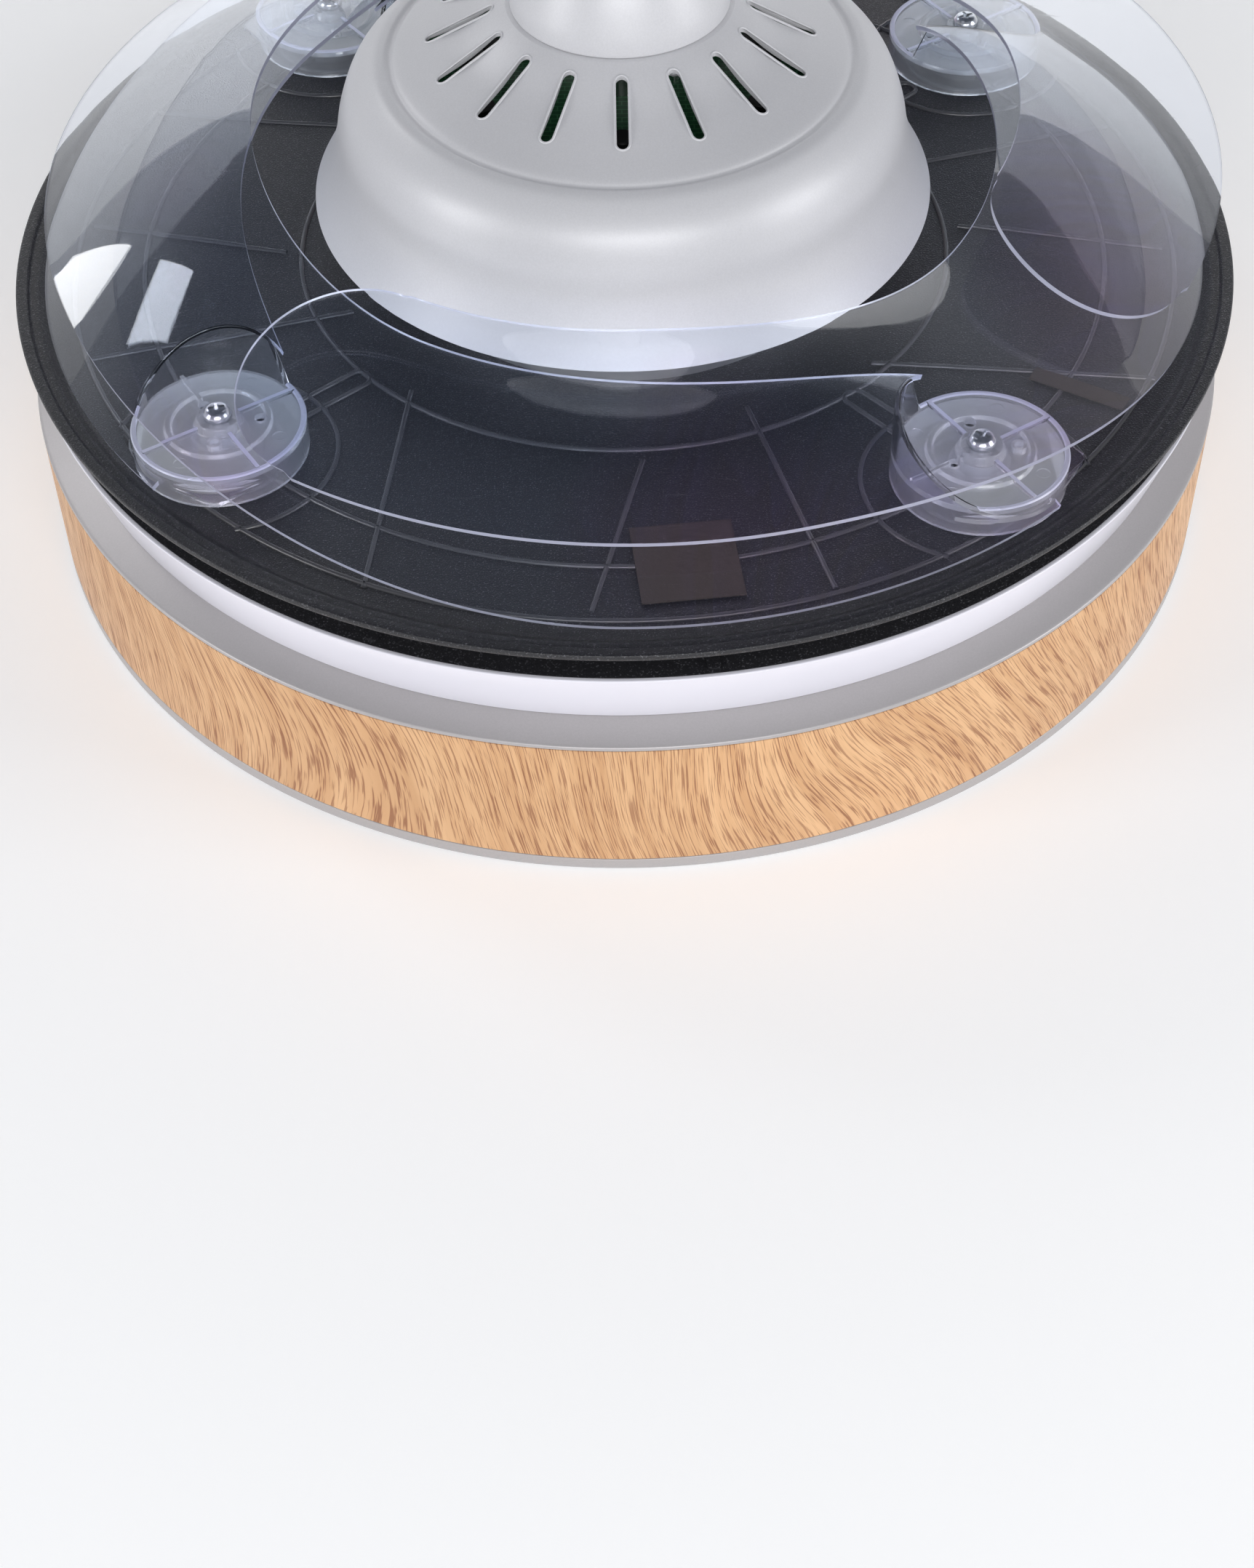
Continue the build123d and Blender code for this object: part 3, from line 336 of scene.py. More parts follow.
def blend(tree, share, first, second):
    """A blend of two colours."""
    made = add_node(tree, "ShaderNodeMix", {"data_type": "RGBA"}, n0=share, n6=first, n7=second)
    return made.outputs[2]


def solid(colour):
    """A colour with full alpha."""
    return (*colour, 1.0)


def new_group(name, inputs, outputs):
    """A shader node group with named sockets, and its inner input and output nodes."""
    group = bpy.data.node_groups.new(name, "ShaderNodeTree")
    for label, kind, value in inputs:
        made = group.interface.new_socket(name=label, in_out="INPUT", socket_type=kind)
        if value is not None:
            made.default_value = value
    for label, kind in outputs:
        group.interface.new_socket(name=label, in_out="OUTPUT", socket_type=kind)
    return group, group.nodes.new("NodeGroupInput").outputs, group.nodes.new("NodeGroupOutput").inputs


def fine_finish_group():
    """Uneven gloss and a fine skin: roughness that drifts, and a height for a bump."""
    group, given, out = new_group(
        "Fine Finish",
        [
            ("Vector", "NodeSocketVector", None),
            ("Scale", "NodeSocketFloat", 900.0),
            ("Roughness", "NodeSocketFloat", 0.4),
            ("Spread", "NodeSocketFloat", 0.1),
        ],
        [("Roughness", "NodeSocketFloat"), ("Height", "NodeSocketFloat")],
    )
    skin = noise(group, given["Vector"], given["Scale"], 4.0)
    smudge = noise(group, given["Vector"], 22.0, 5.0, Roughness=0.65)
    fine_share = maths(group, "MULTIPLY", skin, 0.3)
    drift = maths(group, "MULTIPLY_ADD", smudge, 0.7, fine_share)
    centred = maths(group, "SUBTRACT", drift, 0.5)
    rough = maths(group, "MULTIPLY_ADD", centred, given["Spread"], given["Roughness"])
    group.links.new(rough, out["Roughness"])
    group.links.new(skin, out["Height"])


def colour_drift_group():
    """A colour that is a little lighter and darker in soft patches and fine flecks."""
    group, given, out = new_group(
        "Colour Drift",
        [
            ("Vector", "NodeSocketVector", None),
            ("Colour", "NodeSocketColor", (0.5, 0.5, 0.5, 1.0)),
            ("Patch Scale", "NodeSocketFloat", 9.0),
            ("Patches", "NodeSocketFloat", 0.1),
            ("Fleck Scale", "NodeSocketFloat", 1500.0),
            ("Flecks", "NodeSocketFloat", 0.05),
        ],
        [("Colour", "NodeSocketColor")],
    )
    patch = noise(group, given["Vector"], given["Patch Scale"], 3.0)
    fleck = noise(group, given["Vector"], given["Fleck Scale"], 1.0)
    soft = maths(group, "MULTIPLY", maths(group, "SUBTRACT", patch, 0.5), given["Patches"])
    fine = maths(group, "MULTIPLY", maths(group, "SUBTRACT", fleck, 0.5), given["Flecks"])
    value = maths(group, "ADD", maths(group, "ADD", soft, fine), 1.0)
    toned = add_node(group, "ShaderNodeHueSaturation", Color=given["Colour"], Value=value)
    group.links.new(toned.outputs["Color"], out["Colour"])


def leather_grain_group():
    """Moulded leather grain: soft pebbles with creases, as a height and a crease mask."""
    group, given, out = new_group(
        "Leather Grain",
        [("Vector", "NodeSocketVector", None), ("Scale", "NodeSocketFloat", 900.0)],
        [("Height", "NodeSocketFloat"), ("Crease", "NodeSocketFloat")],
    )
    edges = {"feature": "DISTANCE_TO_EDGE"}
    pebble = add_node(group, "ShaderNodeTexVoronoi", edges, Vector=given["Vector"], Scale=given["Scale"])
    soften = noise(group, given["Vector"], given["Scale"], 3.0)
    rounded = remap(group, pebble.outputs["Distance"], 0.0, 0.32)
    height = maths(group, "MULTIPLY_ADD", soften, 0.6, maths(group, "MULTIPLY", rounded, 0.6))
    group.links.new(height, out["Height"])
    group.links.new(maths(group, "SUBTRACT", 1.0, rounded), out["Crease"])


def turned_lines_group():
    """Fine rings about Z, as left by a lathe or a spinning tool."""
    group, given, out = new_group(
        "Turned Lines",
        [("Vector", "NodeSocketVector", None), ("Scale", "NodeSocketFloat", 2500.0)],
        [("Height", "NodeSocketFloat")],
    )
    split = add_node(group, "ShaderNodeSeparateXYZ", Vector=given["Vector"])
    along = maths(group, "POWER", split.outputs["X"], 2.0)
    span = maths(group, "ADD", along, maths(group, "POWER", split.outputs["Y"], 2.0))
    flat = add_node(group, "ShaderNodeCombineXYZ", X=maths(group, "SQRT", span), Y=split.outputs["Z"])
    group.links.new(noise(group, flat.outputs[0], given["Scale"]), out["Height"])


def bare_material(name):
    """A new node material, its tree, its Principled shader and object coordinates."""
    material = bpy.data.materials.new(name)
    material.use_nodes = True
    tree = material.node_tree
    place = add_node(tree, "ShaderNodeTexCoord").outputs["Object"]
    return material, tree, tree.nodes["Principled BSDF"], place


def placed(tree, group, **inputs):
    """A node group set into a material."""
    return add_node(tree, "ShaderNodeGroup", {"node_tree": bpy.data.node_groups[group]}, **inputs).outputs


def bumped(tree, shader, height, depth, strength=1.0):
    """Feed a height through a Bump node into the shader's Normal."""
    bump = add_node(tree, "ShaderNodeBump", Height=height, Strength=strength, Distance=depth)
    tree.links.new(bump.outputs["Normal"], shader.inputs["Normal"])


def finish_material(
    name, colour, roughness, metallic=0.0, spread=0.08, scale=900.0, depth=0.00002,
    patches=0.06, flecks=0.05, rings=0.0, **sockets
):
    """A painted, moulded or metal finish with drifting colour and gloss and a fine skin."""
    material, tree, shader, place = bare_material(name)
    toned = placed(tree, "Colour Drift", Vector=place, Colour=solid(colour), Patches=patches, Flecks=flecks)
    tree.links.new(toned["Colour"], shader.inputs["Base Color"])
    skin = placed(tree, "Fine Finish", Vector=place, Scale=scale, Roughness=roughness, Spread=spread)
    tree.links.new(skin["Roughness"], shader.inputs["Roughness"])
    height = skin["Height"]
    if rings:
        lines = placed(tree, "Turned Lines", Vector=place, Scale=rings)
        height = maths(tree, "ADD", height, lines["Height"])
    bumped(tree, shader, height, depth)
    shader.inputs["Metallic"].default_value = metallic
    for key, value in sockets.items():
        shader.inputs[key.replace("_", " ")].default_value = value
    return material


# ================================================================ finishes
def wood_print_material():
    """Printed wood film: fine dark dashes that follow swirling growth lines round the drum."""
    look = bpy.context.scene.fan_look
    material, tree, shader, place = bare_material("wood_print")
    split = add_node(tree, "ShaderNodeSeparateXYZ", Vector=place)
    upwards = split.outputs["Z"]
    back = maths(tree, "MULTIPLY", split.outputs["Y"], -1.0)
    around = maths(tree, "MULTIPLY", maths(tree, "ARCTAN2", split.outputs["X"], back), DRUM_RADIUS)
    slow = noise(tree, place, look.figure_scale, 1.2, Roughness=0.4)
    swirl = maths(tree, "MULTIPLY", maths(tree, "SUBTRACT", slow, 0.5), look.figure_swirl)
    lean = maths(tree, "MULTIPLY", upwards, 0.22)
    rings = maths(tree, "ADD", maths(tree, "ADD", around, swirl), lean)
    grain_at = add_node(tree, "ShaderNodeCombineXYZ", X=rings, Y=maths(tree, "MULTIPLY", upwards, 0.035))
    dashes = noise(tree, grain_at.outputs[0], look.dash_scale, 2.0, Roughness=0.55, Distortion=0.25)
    dash_mask = remap(tree, dashes, 0.505, 0.6)
    band_at = add_node(tree, "ShaderNodeCombineXYZ", X=rings, Y=maths(tree, "MULTIPLY", upwards, 0.05))
    bands = noise(tree, band_at.outputs[0], 130.0, 3.0, Roughness=0.6)
    band_mask = remap(tree, bands, 0.36, 0.66)
    ground = blend(tree, band_mask, solid(look.wood_light), solid(look.wood_mid))
    tone = maths(tree, "MULTIPLY_ADD", noise(tree, place, 11.0), 0.3, 0.85)
    shaded = add_node(tree, "ShaderNodeHueSaturation", Color=ground, Value=tone)
    strength = maths(tree, "MULTIPLY", dash_mask, maths(tree, "MULTIPLY_ADD", band_mask, 0.35, 0.62))
    inked = blend(tree, strength, shaded.outputs["Color"], solid(look.wood_dark))
    tree.links.new(inked, shader.inputs["Base Color"])
    skin = placed(tree, "Fine Finish", Vector=place, Scale=1400.0, Roughness=0.42, Spread=0.1)
    rough = maths(tree, "MULTIPLY_ADD", dash_mask, 0.12, skin["Roughness"])
    tree.links.new(rough, shader.inputs["Roughness"])
    height = maths(tree, "MULTIPLY_ADD", dash_mask, -0.8, maths(tree, "MULTIPLY", skin["Height"], 0.3))
    bumped(tree, shader, height, 0.00008, 0.6)
    return material


def leather_black_material(name, colour, roughness, depth):
    """Black moulding with leather grain and fine bright specks, glossier on pebbles than in creases."""
    material, tree, shader, place = bare_material(name)
    grain = placed(tree, "Leather Grain", Vector=place, Scale=850.0)
    skin = placed(tree, "Fine Finish", Vector=place, Scale=2200.0, Roughness=roughness, Spread=0.14)
    toned = placed(tree, "Colour Drift", Vector=place, Colour=solid(colour), Patches=0.25, Flecks=0.5)
    specks = remap(tree, noise(tree, place, 1500.0, 1.0), 0.62, 0.72)
    specked = blend(tree, maths(tree, "MULTIPLY", specks, 0.3), toned["Colour"], (0.3, 0.3, 0.33, 1.0))
    tree.links.new(specked, shader.inputs["Base Color"])
    rough = maths(tree, "MULTIPLY_ADD", grain["Crease"], 0.18, skin["Roughness"])
    tree.links.new(rough, shader.inputs["Roughness"])
    height = maths(tree, "MULTIPLY_ADD", skin["Height"], 0.2, grain["Height"])
    bumped(tree, shader, height, depth, 0.75)
    shader.inputs["Specular IOR Level"].default_value = 0.55
    return material


def clear_material(name, tint, roughness, shadow_tint, stress, clearness=1.0):
    """Clear polycarbonate: faint stress colours and fine wipe marks, and light passes to what is below."""
    material, tree, shader, place = bare_material(name)
    hue = maths(tree, "MULTIPLY", noise(tree, place, 6.5, 1.5, Distortion=1.2), 3.0)
    bands = add_node(tree, "ShaderNodeCombineColor", {"mode": "HSV"}, n0=hue, n1=1.0, n2=1.0)
    amount = remap(tree, noise(tree, place, 5.0, 1.0), 0.5, 0.72, 0.0, stress)
    toned = blend(tree, amount, solid(tint), bands.outputs[0])
    tree.links.new(toned, shader.inputs["Base Color"])
    skin = placed(tree, "Fine Finish", Vector=place, Scale=160.0, Roughness=roughness, Spread=0.05)
    stretch = (40.0, 900.0, 200.0)
    wipe_at = add_node(tree, "ShaderNodeMapping", Vector=place, Rotation=(0.0, 0.0, 0.7), Scale=stretch)
    marks = remap(tree, noise(tree, wipe_at.outputs[0], 1.0), 0.66, 0.8, 0.0, 0.12)
    tree.links.new(maths(tree, "ADD", skin["Roughness"], marks), shader.inputs["Roughness"])
    bumped(tree, shader, noise(tree, place, 28.0, 1.0), 0.0003, 0.25)
    shader.inputs["Metallic"].default_value = 0.0
    shader.inputs["Transmission Weight"].default_value = clearness
    shader.inputs["IOR"].default_value = 1.58
    shader.inputs["Coat Weight"].default_value = 0.0
    through = add_node(tree, "ShaderNodeBsdfTransparent", Color=solid(shadow_tint)).outputs[0]
    shadow = add_node(tree, "ShaderNodeLightPath").outputs["Is Shadow Ray"]
    mixed = add_node(tree, "ShaderNodeMixShader", n0=shadow, n1=shader.outputs[0], n2=through)
    tree.links.new(mixed.outputs[0], tree.nodes["Material Output"].inputs["Surface"])
    return material


def wound_copper_material():
    """Enamelled copper wire laid side by side."""
    material, tree, shader, place = bare_material("coil_copper")
    along = {"bands_direction": "Z"}
    wire = add_node(tree, "ShaderNodeTexWave", along, Vector=place, Scale=380.0, Distortion=1.5).outputs["Fac"]
    ink = blend(tree, wire, (0.2, 0.05, 0.02, 1.0), (0.72, 0.28, 0.1, 1.0))
    tree.links.new(ink, shader.inputs["Base Color"])
    skin = placed(tree, "Fine Finish", Vector=place, Roughness=0.28, Spread=0.12)
    tree.links.new(skin["Roughness"], shader.inputs["Roughness"])
    bumped(tree, shader, wire, 0.0003, 0.8)
    shader.inputs["Metallic"].default_value = 0.9
    return material


def circuit_material():
    """Green solder mask with copper tracks under it."""
    material, tree, shader, place = bare_material("board_green")
    bare, line = solid((0, 0, 0)), solid((1, 1, 1))
    tracks = add_node(
        tree, "ShaderNodeTexBrick", Vector=place, Scale=90.0, Color1=bare, Color2=bare, Mortar=line
    ).outputs["Fac"]
    ink = blend(tree, tracks, solid(bpy.context.scene.fan_look.board_green), (0.09, 0.36, 0.16, 1.0))
    tree.links.new(ink, shader.inputs["Base Color"])
    skin = placed(tree, "Fine Finish", Vector=place, Roughness=0.3, Spread=0.1)
    tree.links.new(skin["Roughness"], shader.inputs["Roughness"])
    bumped(tree, shader, tracks, 0.0001)
    return material


def make_finishes():
    """Every finish of the fan, by the record's slot name, with a few for details."""
    look = bpy.context.scene.fan_look
    fine_finish_group()
    colour_drift_group()
    leather_grain_group()
    turned_lines_group()
    black = look.tray_black
    made = {
        "wood_print": wood_print_material(),
        "tray_black": leather_black_material("tray_black", black, 0.3, 0.00018),
        "black_moulding": leather_black_material("black_moulding", black, 0.5, 0.00012),
        "blade_clear": clear_material("blade_clear", look.blade_tint, 0.012, (0.93, 0.94, 0.96), 0.16),
        # The edge finish: the rougher cut rims are real; its violet tint is painted light, standing in for the
        # light the cut edges catch inside the sheet.
        "blade_edge_painted_light": clear_material("blade_edge_painted_light", look.edge_painted_light_tint, 0.2, (0.8, 0.8, 0.92), 0.05, 0.45),
        "hub_clear": clear_material("hub_clear", look.hub_tint, 0.16, (0.86, 0.88, 0.92), 0.04, 0.8),
        "coil_copper": wound_copper_material(),
        "board_green": circuit_material(),
    }
    paints = {
        "silver_trim": (look.trim_silver, 0.4, {
            "metallic": 0.35, "scale": 1600.0, "flecks": 0.12, "Specular_IOR_Level": 0.5}),
        "housing_silver": (look.housing_silver, 0.42, {
            "metallic": 0.15, "scale": 2000.0, "flecks": 0.12, "Coat_Roughness": 0.3}),
        "pan_enamel": ((0.86, 0.86, 0.85), 0.3, {}),
        "white_gloss": (look.ring_white, 0.16, {
            "scale": 600.0, "depth": 0.00001, "flecks": 0.01, "Coat_Roughness": 0.06}),
        "lamp_board_white": ((0.86, 0.86, 0.86), 0.35, {}),
        "chip_yellow": ((0.9, 0.7, 0.12), 0.25, {}),
        "driver_white": ((0.78, 0.78, 0.76), 0.5, {}),
        "diffuser_opal": ((0.9, 0.9, 0.88), 0.34, {"depth": 0.00003, "Subsurface_Weight": 0.1}),
        "shaft_steel": ((0.56, 0.56, 0.57), 0.28, {"metallic": 1.0, "rings": 2500.0}),
        "screw_zinc": ((0.72, 0.74, 0.76), 0.2, {"metallic": 1.0, "spread": 0.14, "patches": 0.2}),
        "board_parts_black": ((0.02, 0.02, 0.022), 0.4, {}),
        "stator_iron": ((0.2, 0.2, 0.21), 0.42, {"metallic": 0.9, "scale": 3000.0, "depth": 0.0001}),
        "case_metal": ((0.52, 0.53, 0.54), 0.42, {"metallic": 0.9, "rings": 1400.0, "depth": 0.00004}),
        "magnet_grey": ((0.07, 0.07, 0.075), 0.5, {"metallic": 0.3}),
        "bearing_steel": ((0.7, 0.7, 0.71), 0.14, {"metallic": 1.0, "rings": 3000.0}),
        "ball_black": ((0.02, 0.02, 0.022), 0.36, {}),
        "bracket_zinc": ((0.6, 0.6, 0.58), 0.34, {"metallic": 1.0, "spread": 0.2, "patches": 0.25}),
        "pad_brown": (look.pad_brown, 0.78, {
            "scale": 500.0, "depth": 0.0002, "patches": 0.3, "flecks": 0.4, "Specular_IOR_Level": 0.25}),
        # Ribs: the tray's own black painted lighter (0.055 against 0.012) as a painted highlight along the beads;
        # their glossier roughness is real.
        "rib_black_painted_highlight": ((0.055, 0.055, 0.06), 0.2, {
            "spread": 0.1, "scale": 1800.0, "depth": 0.00005, "Specular_IOR_Level": 0.7}),
        "spring_steel": ((0.42, 0.42, 0.43), 0.26, {"metallic": 1.0}),
    }
    for name, (colour, roughness, rest) in paints.items():
        made[name] = finish_material(name, colour, roughness, **rest)
    return made


FINISHES = {}


# ================================================================ sizes and colours a user may change
def colour_prop(name, description, default):
    """A colour on the panel."""
    return bpy.props.FloatVectorProperty(
        name=name, description=description, default=default, size=3, min=0.0, max=1.0, subtype="COLOR"
    )


class FanLook(bpy.types.PropertyGroup):
    """Colours and scales of the finishes."""

    wood_light: colour_prop("Wood light", "Pale ground of the wood print", (0.75, 0.46, 0.24))
    wood_mid: colour_prop("Wood mid", "Darker bands of the wood print", (0.6, 0.33, 0.155))
    wood_dark: colour_prop("Wood dark", "Fine dashes of the wood print", (0.29, 0.115, 0.05))
    trim_silver: colour_prop("Trim silver", "Paint of the drum's silver rings", (0.46, 0.44, 0.44))
    housing_silver: colour_prop("Housing silver", "Paint of the motor housing and rod", (0.6, 0.6, 0.62))
    ring_white: colour_prop("Ring white", "Gloss white of the flared ring", (0.78, 0.77, 0.84))
    tray_black: colour_prop("Tray black", "Moulded tray and deck", (0.012, 0.012, 0.015))
    blade_tint: colour_prop("Blade tint", "Body colour of the clear blades", (0.9, 0.93, 0.985))
    # The edge tint is painted light: the violet the cut edges show from light caught inside the sheet.
    edge_painted_light_tint: colour_prop("Blade edge tint", "Colour of the blades' cut edges", (0.74, 0.77, 0.96))
    hub_tint: colour_prop("Hub tint", "Thicker, slightly milky plastic of the hubs", (0.82, 0.85, 0.88))
    pad_brown: colour_prop("Pad brown", "Balance pads on the tray", (0.05, 0.042, 0.037))
    board_green: colour_prop("Board green", "Control board seen through the vents", (0.02, 0.17, 0.06))
    figure_scale: bpy.props.FloatProperty(
        name="Figure scale", description="Swirls per metre in the wood", default=4.2, min=0.5
    )
    figure_swirl: bpy.props.FloatProperty(
        name="Figure swirl", description="How far the growth lines wander",
        default=0.2, min=0.0, unit="LENGTH",
    )
    dash_scale: bpy.props.FloatProperty(
        name="Dash scale", description="Fine dashes per metre", default=1350.0, min=10.0
    )


class FanSizes(bpy.types.PropertyGroup):
    """Sizes of the details that the frame doesn't hold."""

    bead_radius: bpy.props.FloatProperty(
        name="Rib bead", description="Radius of the tray's raised ribs",
        default=0.0012, min=0.0002, unit="LENGTH",
    )
    lip_fillet: bpy.props.FloatProperty(
        name="Lip fillet", description="Rounding of the tray's lip", default=0.0016, min=0.0, unit="LENGTH"
    )
    vent_bead: bpy.props.FloatProperty(
        name="Vent bead", description="Radius of the pressed edge round each vent",
        default=0.0005, min=0.0001, unit="LENGTH",
    )


# ================================================================ drum light
class FAN_OT_finishes(bpy.types.Operator):
    """Make the finishes and put them on the frame's own parts"""

    bl_idname = "fan.finishes"
    bl_label = "Finishes"

    def execute(self, context):
        FINISHES.update(make_finishes())
        for subpart in frame["record"]["subparts"]:
            node = frame["nodes"][subpart["node"]]
            node.data.materials.clear()
            node.data.materials.append(FINISHES[subpart["material_slot"]])
            round_off(node.data)
        return {"FINISHED"}


class FAN_OT_drum(bpy.types.Operator):
    """Turned skins of the drum light: trim, wood sleeve, shoulder, flared ring and diffuser"""

    bl_idname = "fan.drum"
    bl_label = "Drum light"

    def execute(self, context):
        self.trim()
        self.sleeve()
        self.shoulder()
        self.flared_ring()
        self.diffuser()
        return {"FINISHED"}

    def trim(self):
        """Rolled steel trim that holds the diffuser."""
        wall = 4.0 * MM
        lip = 10.0 * MM
        floor = DIFFUSER_LOW.z
        top = TRIM_HIGH.z
        profile = filleted([
            (DRUM_RADIUS, 0.0, 1.4 * MM),
            (DRUM_RADIUS, top, 0.5 * MM),
            (DRUM_RADIUS - wall, top, 0.4 * MM),
            (DRUM_RADIUS - wall, floor, 0.3 * MM),
            (DRUM_RADIUS - wall - lip, floor, 0.4 * MM),
            (DRUM_RADIUS - wall - lip, 0.0, 0.8 * MM),
        ])
        ring = new_piece("trim_ring", *lathe(profile), FINISHES["silver_trim"])
        settle(ring, "frame", "silver_trim", "bottom_trim")

    def sleeve(self):
        """Wood-print film on its thin sleeve, with a dark shut line at each end."""
        skin = 1.2 * MM
        gap = 0.35 * MM
        profile = filleted([
            (DRUM_RADIUS, WOOD_LOW.z + gap, 0.3 * MM),
            (DRUM_RADIUS, WOOD_HIGH.z - gap, 0.3 * MM),
            (DRUM_RADIUS - skin, WOOD_HIGH.z - gap, 0.0),
            (DRUM_RADIUS - skin, WOOD_LOW.z + gap, 0.0),
        ])
        sleeve = new_piece("wood_sleeve", *lathe(profile), FINISHES["wood_print"])
        settle(sleeve, "frame", "wood_print", "wood_band")

    def shoulder(self):
        """Silver shoulder with a fine bead along its outer edge."""
        low, high = SHOULDER_LOW.z, SHOULDER_HIGH.z
        inner = DRUM_RADIUS - 12.0 * MM
        seat = inner - 14.0 * MM
        profile = filleted([
            (DRUM_RADIUS, low, 0.2 * MM),
            (DRUM_RADIUS, low + 1.4 * MM, 0.7 * MM),
            (DRUM_RADIUS - 1.2 * MM, low + 2.0 * MM, 0.3 * MM),
            (inner, high, 0.4 * MM),
            (seat, high, 0.4 * MM),
            (seat, low, 0.4 * MM),
        ])
        ring = new_piece("shoulder_bead", *lathe(profile), FINISHES["silver_trim"])
        settle(ring, "frame", "silver_trim", "shoulder_ring")

    def flared_ring(self):
        """Gloss white ring, flared upwards, with a rounded lip and a ledge for the deck."""
        low, high = RING_LOW.z, RING_HIGH.z
        lip = RING_HIGH.x
        foot = DRUM_RADIUS - 12.0 * MM
        wall = 2.2 * MM
        ledge = high - 2.0 * MM
        slope = (lip - foot) / (high - low)
        profile = filleted([
            (foot, low, 0.5 * MM),
            (lip, high, 0.9 * MM),
            (lip - wall, high, 0.6 * MM),
            (lip - wall, ledge, 0.2 * MM),
            (lip - wall - 4.0 * MM, ledge, 0.3 * MM),
            (lip - wall - 4.0 * MM, ledge - wall, 0.4 * MM),
            (lip - wall - slope * 4.2 * MM, ledge - wall, 0.4 * MM),
            (foot + slope * wall - wall, low + wall, 0.5 * MM),
            (foot - 10.0 * MM, low + wall, 0.5 * MM),
            (foot - 10.0 * MM, low, 0.5 * MM),
        ])
        ring = new_piece("flared_ring", *lathe(profile), FINISHES["white_gloss"])
        settle(ring, "frame", "white_gloss", "white_ring")

    def diffuser(self):
        """Opal lens with a slight crown and a rolled edge."""
        low, high = DIFFUSER_LOW.z, DIFFUSER_HIGH.z
        radius = DIFFUSER_HIGH.x
        crown = 1.1 * MM
        hole = 0.2 * MM
        outer = filleted([
            (hole, low + 0.2 * MM, 0.0),
            (radius * 0.6, low + 0.1 * MM, 20.0 * MM),
            (radius, low + 0.02 * MM, 0.5 * MM),
            (radius, high, 0.5 * MM),
            (radius * 0.6, high - crown * 0.1, 20.0 * MM),
            (hole, high - crown * 0.2, 0.0),
        ])
        lens = new_piece("opal_lens", *lathe(outer), FINISHES["diffuser_opal"])
        settle(lens, "frame", "diffuser_opal", "diffuser")


# ================================================================ tray
RIB_CIRCLES = (134.0, 198.0, 226.0)
RIB_SPOKES = (((119.0, 72.7), (224.0, 69.0)), ((128.0, 8.7), (228.0, 24.5)), ((140.0, 52.0), (222.0, 46.0)))
RIB_ARCS = (24.0, 44.0)
BOSS_PLACE = 152.0
BOSS_LENGTH = 38.0
BOSS_WIDTH = 9.0


